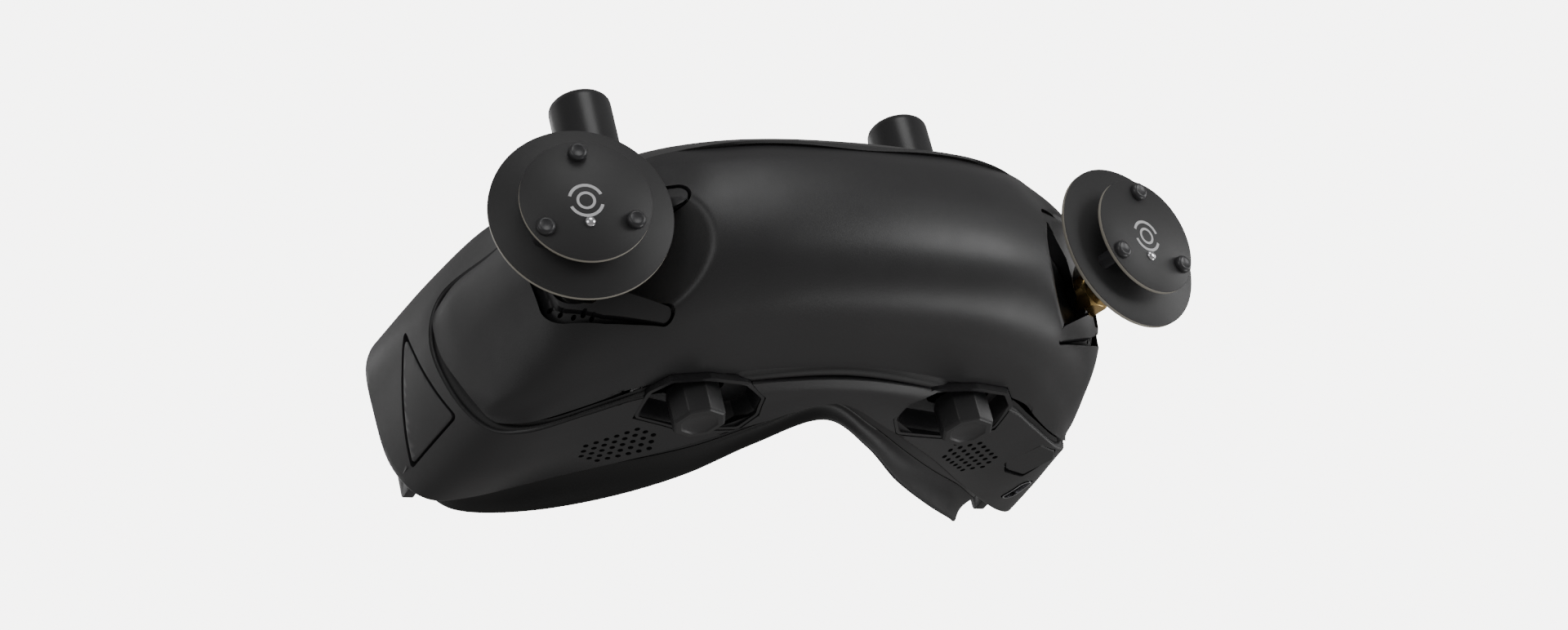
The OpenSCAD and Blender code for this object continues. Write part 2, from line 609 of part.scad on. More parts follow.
module usb_port() color(steel) at_datum() below(usb_at) rotate(90 + usb_turn) {
    translate([0, 0, 16.4]) difference() {
        linear_extrude(7.2) slot_2d(8.9, 3.2);
        translate([0, 0, -1]) linear_extrude(7) slot_2d(8.3, 2.6);
    }
    translate([-3, -0.35, 17.4]) cube([6, 0.7, 5.6]);
}
socket_at = [59, 50];
module card_socket() color(steel) at_datum() translate([socket_at[0] - 4.5, socket_at[1] - 3.5, -22])
    difference() {
        cube([8, 6, 6]);
        translate([1, 2.4, -1]) cube([6, 1.4, 6]);
    }
door_t = 1.4;
door_pin_d = 0.7;
hinge_a = door_outline[5];
hinge_b = door_outline[4];
hinge_turn = atan2(hinge_b[1] - hinge_a[1], hinge_b[0] - hinge_a[0]);
hinge_len = norm(hinge_b - hinge_a);
hinge_in = 0.8;
door_low_z = -24.9;
// Local frame of the door's hinge: +X along the pin, -Y into the door
module at_hinge() translate([hinge_a[0], hinge_a[1], door_low_z + door_t / 2]) rotate(hinge_turn)
    translate([0, -hinge_in, 0]) children();
module card_door() color(charcoal) at_datum() difference() {
    union() {
        intersection() {
            translate([0, 0, door_low_z]) linear_extrude(door_t) polygon(door_outline);
            at_hinge() translate([-10, -20, -5]) cube([30, 20, 10]);
        }
        at_hinge() translate([0.3, 0, 0]) rotate([0, 90, 0]) cylinder(h = hinge_len - 0.6, d = door_t);
    }
    at_hinge() translate([-2, 0, 0]) rotate([0, 90, 0]) cylinder(h = hinge_len + 4, d = door_pin_d + 0.1);
    for (x = [-10, hinge_len]) at_hinge() translate([x, -1.8, -5]) cube([10, 10, 10]);
}
module door_pin() color(steel) at_datum() at_hinge() translate([-1.6, 0, 0]) rotate([0, 90, 0])
    cylinder(h = hinge_len + 3.2, d = door_pin_d);
module at_jack(at) translate([jack_face_x - jack_len, at[0], at[1]]) rotate([0, 90, 0]) children();
module audio_jack() color(black) at_datum() at_jack(audio_at) difference() {
    cylinder(h = jack_len, d = 6);
    translate([0, 0, jack_len - audio_depth]) cylinder(h = jack_len, r = 1.8);
}
module power_jack() color(black) at_datum() at_jack(power_at) {
    difference() {
        cylinder(h = jack_len, d = 9);
        translate([0, 0, 1.5]) cylinder(h = jack_len, d = 5.7);
    }
    cylinder(h = jack_len - 2, d = 2);
}
module vent_mesh() color(black) at_datum() for (side = [-1, 1]) on_side(side)
    translate([grille_at[0], grille_at[1], -22.4]) rotate(grille_turn) linear_extrude(0.4) difference() {
        polygon([[-9.6, 0], [-7.2, -5.2], [7.2, -5.2], [9.6, 0], [7.2, 5.2], [-7.2, 5.2]]);
        for (row = [-2:2], k = [-3:3])
            translate([k * 2.1, row * 2.1]) square(1.2, center = true);
    }

// ---- antennas and their connectors ----
stub_x = 40;
stub_y = 36.9;
stub_base_z = 31;
thread_d = 6.2;
module sma_jack(side) color(gold) at_datum() on_side(side) patch_frame() {
    translate([0, 0, boss_z - 9]) cylinder(h = 14, d = thread_d);
    translate([0, 0, bay_floor_z - 3.4]) cylinder(h = 1.8, d = 9, $fn = 6);
}
module stub_jack(side) color(gold) at_datum() on_side(side) translate([stub_x, stub_y, 0]) {
    translate([0, 0, 23.3]) cylinder(h = 12.2, d = thread_d);
    translate([0, 0, 25]) cylinder(h = 1.4, d = 9, $fn = 6);
}
patch_axis_y = feed_drop;
module patch_centre() translate([0, patch_axis_y, 0]) children();
rivet_r = 10.7;
module ground_disc(side) color(black) at_datum() on_side(side) patch_frame() {
    difference() {
        patch_centre() translate([0, 0, -disc_t]) cylinder(h = disc_t, d = ground_d);
        translate([0, 0, -2]) cylinder(h = 4, d = 2);
    }
    translate([0, 0, -12.2]) difference() {
        cylinder(h = 12.2 - disc_t, d = 5.2);
        translate([0, 0, -1]) cylinder(h = 20, d = 1.4);
    }
    translate([0, 0, -12.2]) difference() {
        cylinder(h = 1, d = 6.2);
        translate([0, 0, -1]) cylinder(h = 4, d = 1.4);
    }
}
module patch_disc(side) color(black) at_datum() on_side(side) patch_frame() {
    difference() {
        patch_centre() translate([0, 0, patch_gap]) cylinder(h = disc_t, d = patch_d);
        translate([0, 0, patch_gap - 1]) cylinder(h = 4, d = 1.2);
    }
    translate([0, 0, -11]) cylinder(h = 11 + patch_gap + disc_t, d = 1.2);
    translate([0, 0, patch_gap + disc_t]) intersection() {
        translate([0, 0, -0.4]) sphere(r = 1.1);
        cylinder(h = 2, d = 3);
    }
}
module patch_rivets(side) color(dark_grey) at_datum() on_side(side) patch_frame() patch_centre()
    for (a = [90:120:330]) rotate(a) translate([rivet_r, 0, 0]) {
        cylinder(h = patch_gap, d = 3.2);
        translate([0, 0, patch_gap + disc_t]) intersection() {
            cylinder(h = 1.5, d = 3.9);
            translate([0, 0, -2.3]) sphere(r = 3.8);
        }
    }
nut_w = 8;
module sma_nut(side) color(gold) at_datum() on_side(side) patch_frame() difference() {
    translate([0, 0, boss_z + 0.6]) cylinder(h = 7.2, d = nut_w / cos(30), $fn = 6);
    translate([0, 0, boss_z - 1]) cylinder(h = 7.6, d = thread_d + 0.6);
    translate([0, 0, boss_z + 5]) cylinder(h = 5, d = 5.8);
}
module stub_antenna(side) color(charcoal) at_datum() on_side(side) translate([stub_x, stub_y, stub_base_z])
    difference() {
        union() {
            cylinder(h = stub_top - stub_base_z - 3, d = stub_d);
            rotate_extrude() intersection() {
                translate([0, stub_top - stub_base_z - 3]) square([stub_d / 2, 3]);
                union() {
                    translate([stub_d / 2 - 3, stub_top - stub_base_z - 3]) circle(r = 3);
                    square([stub_d / 2 - 3, stub_top - stub_base_z]);
                }
            }
        }
        translate([0, 0, -1]) cylinder(h = 6, d = thread_d + 0.6);
    }

lead_r = 0.7;
// Leads from the jacks to the receiver board, right half
patch_lead = [[59.1, 26.8, -2.1], [58.6, 28.8, -1.6], [57.4, 30, 1], [56.8, 30, 6], [56.4, 29.6, 12],
    [55, 28.6, 18], [52.2, 26.6, 22.2], [49.6, 24.4, 22.9], [47.2, 21.5, 21.3], [44.8, 16.5, 18.4],
    [41, 11, 15.8], [38, 8.4, 12], [36.8, 8, 7], [36, 8, 3], [34.5, 8.2, 0.4], [34, 6.6, 0]];
stub_lead = [[40, 36.9, 22.8], [41.5, 36.6, 22.6], [44, 36, 22.8], [46.2, 34, 23], [46.6, 30, 23],
    [45.6, 26, 22.4], [43.4, 21.5, 20.6], [41, 16, 18.2], [38, 11.5, 16], [35.4, 9, 13], [34, 8.4, 10.2],
    [34, 6.6, 9]];
module coax_leads() color(black) at_datum() for (side = [-1, 1]) on_side(side) {
    tube_along(smooth_open(patch_lead, 2), lead_r);
    tube_along(smooth_open(stub_lead, 2), lead_r);
}

// ---- fasteners, buttons and strap anchors ----
module board_screws() color(steel) at_datum() for (x = [-40.5, 40.5], z = [-12, 10]) {
    along_y(x, 10, z) cylinder(h = 1.5, d = 4);
    along_y(x, 11.5, z) cylinder(h = 6.8, d = 2);
}
module strap_anchor(side) color(black) at_datum() on_side(side) difference() {
    union() {
        translate([71, 80, -13.5]) cube([2.4, 13, 28.5]);
        for (z = [-12.5, 12]) translate([73, 81, z]) cube([3.2, 3, 2.4]);
    }
    translate([70, 86.2, -11]) cube([5, 4.6, 23.5]);
}
button_top_z = 31;
button_flange_z = 25.3;
module push_button(at) translate([at[0], at[1], 0]) {
    translate([0, 0, button_flange_z]) cylinder(h = 1, d = 9);
    translate([0, 0, button_flange_z]) cylinder(h = button_top_z - button_flange_z, d = 7);
}
module record_button() color("firebrick") at_datum() push_button(record_at);
module back_button() color(black) at_datum() push_button(back_at);
nav_pivot_z = 26;
module at_nav() translate([nav_at[0], nav_at[1], nav_pivot_z]) children();
module nav_gimbal() color(steel) at_datum() at_nav() {
    difference() {
        cube([6, 6, 1.4], center = true);
        cube([3.6, 3.6, 3], center = true);
        rotate([90, 0, 0]) cylinder(h = 10, d = trunnion_d + 0.1, center = true);
    }
    for (s = [-1, 1]) translate([3.9 * s, 0, 0]) rotate([0, 90, 0])
        cylinder(h = 1.8, d = trunnion_d, center = true);
}
module nav_stem() color(black) at_datum() at_nav() {
    translate([0, 0, -0.6]) cylinder(h = 4, d = 2.4);
    rotate([90, 0, 0]) cylinder(h = 5.4, d = trunnion_d, center = true);
}
module nav_cap() color(black) at_datum() at_nav() difference() {
    translate([0, 0, 2]) cylinder(h = 4.4, d = 6);
    translate([0, 0, 1]) cylinder(h = 3.4, d = 2.7);
}

front_cover();
rear_housing();
seam_gasket();
bay_insert(-1);  // bay_insert_l
bay_insert(1);  // bay_insert_r
side_panel(-1);  // side_panel_l
side_panel(1);  // side_panel_r
inner_face_panel();
face_frame();
face_pad();
chassis();
guide_rods();
main_board();
rf_board();
heat_sink();
fan_frame();
fan_rotor();
control_boards();
usb_port();
card_socket();
card_door();
door_pin();
audio_jack();
power_jack();
vent_mesh();
coax_leads();
board_screws();
strap_anchor(-1);  // strap_anchor_l
strap_anchor(1);  // strap_anchor_r
knob_tray(-1);  // knob_tray_l
knob_tray(1);  // knob_tray_r
sma_jack(-1);  // sma_jack_l
sma_jack(1);  // sma_jack_r
stub_jack(-1);  // stub_jack_l
stub_jack(1);  // stub_jack_r
optic_pod(-1);  // optic_pod_l
optic_pod(1);  // optic_pod_r
display(-1);  // display_l
display(1);  // display_r
eyepiece(-1);  // eyepiece_l
eyepiece(1);  // eyepiece_r
eye_lens(-1);  // eye_lens_l
eye_lens(1);  // eye_lens_r
focus_knob(-1);  // focus_knob_l
focus_knob(1);  // focus_knob_r
ground_disc(-1);  // ground_disc_l
ground_disc(1);  // ground_disc_r
patch_disc(-1);  // patch_disc_l
patch_disc(1);  // patch_disc_r
patch_rivets(-1);  // patch_rivets_l
patch_rivets(1);  // patch_rivets_r
sma_nut(-1);  // sma_nut_l
sma_nut(1);  // sma_nut_r
stub_antenna(-1);  // stub_antenna_l
stub_antenna(1);  // stub_antenna_r
record_button();
back_button();
nav_gimbal();
nav_stem();
nav_cap();
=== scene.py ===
"""FPV goggles: the looks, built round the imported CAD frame.

Shapes are drawn in millimetres about the datum midway between the two patch antennas,
front towards -Y, and placed() turns them into the row frame's metres.
"""
import json
import math

import bmesh
import bpy
import numpy as np
from mathutils import Matrix, Vector


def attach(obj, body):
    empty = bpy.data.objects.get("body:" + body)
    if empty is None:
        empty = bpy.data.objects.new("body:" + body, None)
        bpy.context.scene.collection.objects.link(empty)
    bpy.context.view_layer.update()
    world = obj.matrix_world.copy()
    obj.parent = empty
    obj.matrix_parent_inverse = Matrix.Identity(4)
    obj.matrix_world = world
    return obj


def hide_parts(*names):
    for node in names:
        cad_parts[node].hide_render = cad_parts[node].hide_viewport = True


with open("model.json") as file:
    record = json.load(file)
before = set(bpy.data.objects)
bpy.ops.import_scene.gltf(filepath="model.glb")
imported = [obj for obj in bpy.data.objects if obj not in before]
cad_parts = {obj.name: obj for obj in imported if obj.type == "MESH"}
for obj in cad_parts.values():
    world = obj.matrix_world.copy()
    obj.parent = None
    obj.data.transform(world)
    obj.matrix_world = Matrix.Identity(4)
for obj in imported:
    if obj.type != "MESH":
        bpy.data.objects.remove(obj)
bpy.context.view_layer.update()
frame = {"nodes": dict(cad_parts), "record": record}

MM = 0.001
DATUM = np.array([0.0, -44.65, 30.0])
SIDES = (("l", -1), ("r", 1))


# ---------------------------------------------------------------- curves and grids
def placed(points):
    return (np.asarray(points, float).reshape(-1, 3) + DATUM) * MM


def unit(v):
    v = np.asarray(v, float)
    return v / np.maximum(np.linalg.norm(v, axis=-1, keepdims=True), 1e-12)


def catmull(points, steps, closed=False):
    """Points along a Catmull-Rom curve; the same rule as the CAD source uses."""
    p = np.asarray(points, float)
    n = len(p)
    out = []
    for i in range(n if closed else n - 1):
        pick = [(i + k) % n if closed else min(max(i + k, 0), n - 1) for k in (-1, 0, 1, 2)]
        a, b, c, d = p[pick]
        for t in np.arange(steps) / steps:
            out.append(0.5 * (2 * b + (c - a) * t + (2 * a - 5 * b + 4 * c - d) * t * t
                              + (3 * b - a - 3 * c + d) * t ** 3))
    if not closed:
        out.append(p[-1])
    return np.array(out)


def both_sides(points):
    p = np.asarray(points, float)
    return np.vstack([p[:0:-1] * [-1, 1, 1], p])


def full_ring(points):
    p = np.asarray(points, float)
    return np.vstack([p, p[-2:0:-1] * [-1, 1, 1]])


def grid_between(lines, along, across, closed=False):
    """A dense grid through lines of points: along each line, then across from line to line."""
    rows = np.array([catmull(line, along, closed) for line in lines])
    return np.array([catmull(rows[:, k], across) for k in range(rows.shape[1])])


def outward(grid, closed=False):
    """Unit normal at each point, all turned away from the middle of the grid."""
    if closed:
        du = np.roll(grid, -1, 0) - np.roll(grid, 1, 0)
    else:
        du = np.gradient(grid, axis=0)
    normal = unit(np.cross(du, np.gradient(grid, axis=1)))
    centre = grid.reshape(-1, 3).mean(0)
    return -normal if np.sum(normal * (grid - centre)) < 0 else normal


# ---------------------------------------------------------------- meshes
def new_object(name, verts, faces):
    mesh = bpy.data.meshes.new(name)
    mesh.from_pydata([tuple(v) for v in placed(verts)], [], [tuple(int(k) for k in f) for f in faces])
    mesh.validate()
    obj = bpy.data.objects.new(name, mesh)
    bpy.context.scene.collection.objects.link(obj)
    bm = bmesh.new()
    bm.from_mesh(mesh)
    bmesh.ops.recalc_face_normals(bm, faces=bm.faces)
    bm.to_mesh(mesh)
    bm.free()
    return obj


def shell(name, grid, thickness, roll, closed=False):
    """A thin shell from a grid of its outer surface, with edges rolled to radius roll.

    An open grid is rolled on all four sides, a closed one (a tube) at its two ends."""
    n, m = grid.shape[:2]
    normal = outward(grid, closed)
    inner = grid - thickness * normal
    if closed:
        loops = [[(i, 0) for i in range(n)], [(i, m - 1) for i in range(n)]]
    else:
        loops = [[(i, 0) for i in range(n)] + [(n - 1, j) for j in range(1, m)]
                 + [(i, m - 1) for i in range(n - 2, -1, -1)] + [(0, j) for j in range(m - 2, 0, -1)]]
    verts = [grid.reshape(-1, 3), inner.reshape(-1, 3)]
    faces = []
    wrap = n if closed else n - 1
    for i in range(wrap):
        for j in range(m - 1):
            quad = [i * m + j, ((i + 1) % n) * m + j, ((i + 1) % n) * m + j + 1, i * m + j + 1]
            faces.append(quad)
            faces.append([q + n * m for q in quad[::-1]])
    outer = grid.copy()
    for loop in loops:
        away = []
        for i, j in loop:
            v = np.zeros(3)
            if j in (0, m - 1):
                v += unit(grid[i, j] - grid[i, 1 if j == 0 else m - 2])
            if not closed and i in (0, n - 1):
                v += unit(grid[i, j] - grid[1 if i == 0 else n - 2, j])
            away.append(unit(v))
        rings = []
        for angle in np.radians([30, 60, 90]):
            inward, down = roll * (1 - math.sin(angle)), roll * (1 - math.cos(angle))
            base = sum(len(v) for v in verts)
            verts.append(np.array([grid[i, j] - a * inward - normal[i, j] * down
                                   for (i, j), a in zip(loop, away)]))
            rings.append([base + q for q in range(len(loop))])
        rings.append([n * m + i * m + j for i, j in loop])
        previous = [i * m + j for i, j in loop]
        for current in rings:
            for q in range(len(loop)):
                p = (q + 1) % len(loop)
                faces.append([previous[q], previous[p], current[p], current[q]])
            previous = current
        for (i, j), a in zip(loop, away):
            outer[i, j] = grid[i, j] - a * roll
    verts[0] = outer.reshape(-1, 3)
    return new_object(name, np.vstack(verts), faces)


def capped(name, rings, closed=False):
    """A solid through rings of points, with a cap on each end or joined end to end."""
    rings = np.asarray(rings, float)
    n, m = rings.shape[:2]
    faces = [[i * m + j, (i + 1) % n * m + j, (i + 1) % n * m + (j + 1) % m, i * m + (j + 1) % m]
             for i in range(n if closed else n - 1) for j in range(m)]
    if not closed:
        faces += [list(range(m)), [(n - 1) * m + j for j in range(m)][::-1]]
    return new_object(name, rings.reshape(-1, 3), faces)


def closed_ring(name, sections):
    return capped(name, sections, closed=True)


def tube(name, route, radius, sides=12, steps=6):
    path = catmull(route, steps)
    tangent = unit(np.gradient(path, axis=0))
    side = unit(np.cross(tangent, [0.31, 0.17, 0.93]))
    other = np.cross(tangent, side)
    angles = 2 * np.pi * np.arange(sides) / sides
    return capped(name, [[p + radius * (math.cos(a) * s + math.sin(a) * o) for a in angles]
                         for p, s, o in zip(path, side, other)])


def turned(name, profile, segments=64, matrix=None):
    """A solid of revolution about local Z from (radius, height) points, axis to axis."""
    verts, faces, rows = [], [], []
    for r, z in profile:
        if r < 1e-6:
            rows.append([len(verts)])
            verts.append((0, 0, z))
        else:
            rows.append([len(verts) + k for k in range(segments)])
            verts += [(r * math.cos(2 * math.pi * k / segments), r * math.sin(2 * math.pi * k / segments), z)
                      for k in range(segments)]
    pairs = list(zip(rows, rows[1:]))
    if len(rows[0]) > 1 and len(rows[-1]) > 1:
        pairs.append((rows[-1], rows[0]))
    for a, b in pairs:
        for k in range(segments):
            j = (k + 1) % segments
            if len(a) == 1:
                faces.append([a[0], b[j], b[k]])
            elif len(b) == 1:
                faces.append([a[k], a[j], b[0]])
            else:
                faces.append([a[k], a[j], b[j], b[k]])
    return new_object(name, moved_by(verts, matrix), faces)


def rod(name, radius, low, high, segments=48, matrix=None):
    """A plain cylinder about local Z."""
    return turned(name, [(0, low), (radius, low), (radius, high), (0, high)], segments, matrix)


def moved_by(points, matrix):
    points = np.asarray(points, float)
    if matrix is None:
        return points
    m = np.array(matrix)
    return points @ m[:3, :3].T + m[:3, 3]


def lofted_prism(name, layers, matrix=None):
    """A solid through (outline, height) layers that have the same number of points."""
    rings = np.array([[(x, y, z) for x, y in o] for o, z in layers], float)
    return capped(name, moved_by(rings.reshape(-1, 3), matrix).reshape(rings.shape))


def prism(name, outline, low, high, matrix=None):
    return lofted_prism(name, [(outline, low), (outline, high)], matrix)


def arc(centre, radius, start, end, count):
    angles = np.radians(np.linspace(start, end, count))
    return np.c_[centre[0] + radius * np.cos(angles), centre[1] + radius * np.sin(angles)]


def rounded(outline, radius, count=5):
    """A polygon with its corners rounded."""
    o = np.asarray(outline, float)
    n = len(o)
    out = []
    for i in range(n):
        a, b = unit(o[i - 1] - o[i]), unit(o[(i + 1) % n] - o[i])
        half = math.acos(np.clip(a @ b, -1, 1)) / 2
        reach = min(radius / math.tan(half), 0.45 * np.linalg.norm(o[i - 1] - o[i]),
                    0.45 * np.linalg.norm(o[(i + 1) % n] - o[i]))
        p, q = o[i] + a * reach, o[i] + b * reach
        for t in np.linspace(0, 1, count):
            out.append((1 - t) ** 2 * p + 2 * t * (1 - t) * o[i] + t * t * q)
    return np.array(out)


def grown(outline, by):
    """A polygon with each corner moved out along its bisector."""
    o = np.asarray(outline, float)
    area = 0.5 * np.sum(o[:, 0] * np.roll(o[:, 1], -1) - np.roll(o[:, 0], -1) * o[:, 1])
    a, b = unit(o - np.roll(o, 1, 0)), unit(np.roll(o, -1, 0) - o)
    na, nb = np.c_[a[:, 1], -a[:, 0]], np.c_[b[:, 1], -b[:, 0]]
    mid = unit(na + nb)
    reach = by / np.maximum(np.sum(mid * na, 1), 0.3)
    return o + np.sign(area) * mid * reach[:, None]


def stadium(length, width, count=12):
    half = (length - width) / 2
    return np.vstack([arc((half, 0), width / 2, -90, 90, count), arc((-half, 0), width / 2, 90, 270, count)])


def rectangle(x0, y0, x1, y1):
    return np.array([(x0, y0), (x1, y0), (x1, y1), (x0, y1)], float)


def circle(centre, radius, count=48):
    return arc(centre, radius, 0, 360 - 360 / count, count)


def hexagon(name, radius, corner, low, high, matrix):
    """A six-sided bar about local Z, with its edges rounded."""
    return prism(name, rounded(circle((0, 0), radius, 6), corner, 3), low, high, matrix)


def capsule(a, ra, b, rb, count=40):
    """Convex outline round two circles."""
    best = []
    for angle in np.linspace(0, 2 * np.pi, 2 * count, endpoint=False):
        d = np.array([math.cos(angle), math.sin(angle)])
        best.append(max((np.array(a) + ra * d, np.array(b) + rb * d), key=lambda p: p @ d))
    out = [best[0]]
    for p in best[1:]:
        if np.linalg.norm(p - out[-1]) > 1e-3:
            out.append(p)
    return np.array(out)


# ---------------------------------------------------------------- mesh edits
def join(name, objects):
    bm = bmesh.new()
    for o in objects:
        bm.from_mesh(o.data)
        bpy.data.objects.remove(o)
    mesh = bpy.data.meshes.new(name)
    bm.to_mesh(mesh)
    bm.free()
    obj = bpy.data.objects.new(name, mesh)
    bpy.context.scene.collection.objects.link(obj)
    return obj


def apply_modifiers(obj):
    bpy.context.view_layer.update()
    deps = bpy.context.evaluated_depsgraph_get()
    mesh = bpy.data.meshes.new_from_object(obj.evaluated_get(deps))
    obj.modifiers.clear()
    obj.data = mesh
    return obj


def cut(obj, tool, operation="DIFFERENCE"):
    """Takes the tool out of obj, or joins or intersects the two, and removes the tool."""
    mod = obj.modifiers.new("cut", "BOOLEAN")
    mod.solver = "MANIFOLD"
    mod.operation = operation
    mod.object = tool
    apply_modifiers(obj)
    bpy.data.objects.remove(tool)
    return obj


def united(name, objects):
    first = objects[0]
    for o in objects[1:]:
        cut(first, o, "UNION")
    first.name = name
    return first


def cleaned(obj, distance=0.03):
    """Merges the slivers that cuts leave."""
    bm = bmesh.new()
    bm.from_mesh(obj.data)
    bmesh.ops.remove_doubles(bm, verts=bm.verts, dist=distance * MM)
    bmesh.ops.dissolve_degenerate(bm, edges=bm.edges, dist=distance * MM)
    bm.to_mesh(obj.data)
    bm.free()
    return obj


def bevelled(obj, width, segments=2, angle=50):
    mod = obj.modifiers.new("bevel", "BEVEL")
    mod.width = width * MM
    mod.segments = segments
    mod.limit_method = "ANGLE"
    mod.angle_limit = math.radians(angle)
    return apply_modifiers(obj)


def smooth(obj, angle=35):
    mesh = obj.data
    mesh.polygons.foreach_set("use_smooth", [True] * len(mesh.polygons))
    mesh.set_sharp_from_angle(angle=math.radians(angle))
    mesh.update()
    return obj


def subdivided(obj, levels=1):
    mod = obj.modifiers.new("sub", "SUBSURF")
    mod.levels = mod.render_levels = levels
    return apply_modifiers(obj)


def flip_x(obj):
    obj.data.transform(Matrix.Scale(-1, 4, Vector((1, 0, 0))))
    obj.data.flip_normals()
    return obj


def for_side(obj, side):
    """Shapes are drawn for the right half; the left one is their mirror image."""
    return flip_x(obj) if side < 0 else obj


def in_both(obj):
    copy = bpy.data.objects.new(obj.name + "_m", obj.data.copy())
    bpy.context.scene.collection.objects.link(copy)
    return [obj, flip_x(copy)]


def cut_both(obj, tool):
    for each in in_both(tool):
        cut(obj, each)


def finished(obj, name, side=1):
    """A cut piece on its own side, under its own name."""
    for_side(obj, side).name = name
    return cleaned(obj)


# ---------------------------------------------------------------- materials
DRIFT_SCALE, WEAR_SCALE, WEAR = 45.0, 160.0, 0.05
GRAIN_DEPTH = 0.04 * MM
def socket(node, name, value):
    node.inputs[name].default_value = value


def noise(tree, where, scale, detail):
    node = tree.nodes.new("ShaderNodeTexNoise")
    socket(node, "Scale", scale)
    socket(node, "Detail", detail)
    tree.links.new(where.outputs["Object"], node.inputs["Vector"])
    return node.outputs["Fac"]


def plastic(name, colour, rough=0.5, grain=0.25, grain_size=0.35, mottle=0.12, coat=0.0, metal=0.0,
            specular=0.5):
    """A moulded surface: fine grain in the bump, a slow drift in tone and in roughness."""
    mat = bpy.data.materials.new(name)
    mat.use_nodes = True
    tree = mat.node_tree
    nodes, links = tree.nodes, tree.links
    shader = nodes["Principled BSDF"]
    where = nodes.new("ShaderNodeTexCoord")
    tone = nodes.new("ShaderNodeValToRGB")
    for end, place, factor in zip(tone.color_ramp.elements, (0.3, 0.7), (1 - mottle, 1 + mottle)):
        end.position = place
        end.color = (*[min(1.0, c * factor) for c in colour], 1)
    links.new(noise(tree, where, DRIFT_SCALE, 3.0), tone.inputs["Fac"])
    links.new(tone.outputs["Color"], shader.inputs["Base Color"])
    bump = nodes.new("ShaderNodeBump")
    socket(bump, "Strength", grain)
    socket(bump, "Distance", GRAIN_DEPTH)
    links.new(noise(tree, where, 1 / MM / grain_size, 2.0), bump.inputs["Height"])
    links.new(bump.outputs["Normal"], shader.inputs["Normal"])
    span = nodes.new("ShaderNodeMapRange")
    socket(span, "To Min", max(0.03, rough - WEAR))
    socket(span, "To Max", min(1.0, rough + WEAR))
    links.new(noise(tree, where, WEAR_SCALE, 4.0), span.inputs["Value"])
    links.new(span.outputs["Result"], shader.inputs["Roughness"])
    socket(shader, "Metallic", metal)
    socket(shader, "Specular IOR Level", specular)
    socket(shader, "Coat Weight", coat)
    return mat


def glass(name, colour, rough=0.02):
    mat = plastic(name, colour, rough, grain=0.0, mottle=0.02)
    shader = mat.node_tree.nodes["Principled BSDF"]
    socket(shader, "Transmission Weight", 0.9)
    socket(shader, "IOR", 1.49)
    return mat


def circuit(name, colour):
    """Solder mask with a faint square pattern of tracks."""
    mat = plastic(name, colour, 0.35, grain=0.1, mottle=0.3, coat=0.3)
    nodes, links = mat.node_tree.nodes, mat.node_tree.links
    brick = nodes.new("ShaderNodeTexBrick")
    socket(brick, "Scale", 260.0)
    socket(brick, "Mortar Size", 0.03)
    for name, factor in (("Color1", 1.0), ("Color2", 1.3), ("Mortar", 0.5)):
        socket(brick, name, (*[c * factor for c in colour], 1))
    links.new(nodes["Texture Coordinate"].outputs["Object"], brick.inputs["Vector"])
    links.new(brick.outputs["Color"], nodes["Principled BSDF"].inputs["Base Color"])
    return mat


# colour, roughness, grain, grain size in mm, mottle, coat, metal, specular
PLASTICS = {
    "shell_plastic": ((0.0215, 0.0215, 0.0225), 0.4, 0.35, 0.22, 0.06, 0.0, 0.0, 0.45),
    "trim_black": ((0.014, 0.014, 0.015), 0.38, 0.25, 0.3, 0.08),
    "inner_black": ((0.011, 0.011, 0.012), 0.55, 0.4, 0.35, 0.1),
    "knob_plastic": ((0.02, 0.02, 0.021), 0.42, 0.3, 0.25, 0.08),
    "gasket_rubber": ((0.012, 0.012, 0.0125), 0.6, 0.3, 0.4, 0.1),
    "face_pad_rubber": ((0.0075, 0.0075, 0.008), 0.5, 0.45, 0.3, 0.1, 0.0, 0.0, 0.4),
    "frame_plastic": ((0.04, 0.04, 0.043), 0.5, 0.3, 0.4, 0.1),
    "barrel_plastic": ((0.011, 0.011, 0.011), 0.35, 0.2, 0.3, 0.08),
    "rod_steel": ((0.5, 0.5, 0.52), 0.28, 0.15, 0.2, 0.05, 0.0, 1.0),
    "heat_sink_metal": ((0.45, 0.45, 0.47), 0.4, 0.3, 0.2, 0.06, 0.0, 1.0),
    "display_glass": ((0.012, 0.014, 0.02), 0.08, 0.02, 0.3, 0.05, 0.5),
    "lead_jacket": ((0.012, 0.012, 0.013), 0.35, 0.1, 0.3, 0.05),
    "connector_gold": ((0.72, 0.5, 0.2), 0.24, 0.12, 0.15, 0.08, 0.0, 1.0),
    "antenna_black": ((0.026, 0.026, 0.0265), 0.5, 0.2, 0.2, 0.05, 0.0, 0.0, 0.4),
    "antenna_spacer": ((0.028, 0.028, 0.03), 0.35, 0.15, 0.2, 0.06),
    "stub_plastic": ((0.014, 0.014, 0.015), 0.34, 0.2, 0.2, 0.06),
    "record_red": ((0.3, 0.018, 0.018), 0.4, 0.2, 0.25, 0.06),
    "laminate_edge": ((0.36, 0.34, 0.29), 0.5, 0.3, 0.15, 0.15),
    "mark_ink": ((0.55, 0.55, 0.56), 0.45, 0.15, 0.2, 0.03),
    "solder": ((0.75, 0.75, 0.77), 0.12, 0.05, 0.2, 0.02, 0.0, 1.0),
}
MATERIALS = {name: plastic(name, *look) for name, look in PLASTICS.items()}
MATERIALS["circuit_board"] = circuit("circuit_board", (0.01, 0.09, 0.045))
MATERIALS["lens_glass"] = glass("lens_glass", (0.85, 0.9, 0.95))


def dress(obj, slot, body, *replaced, material=None, angle=35):
    """Finishes a piece: its material, its body and the CAD nodes it stands for."""
    smooth(obj, angle)
    obj.data.materials.clear()
    obj.data.materials.append(MATERIALS[material or slot])
    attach(obj, body)
    if replaced:
        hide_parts(*replaced)


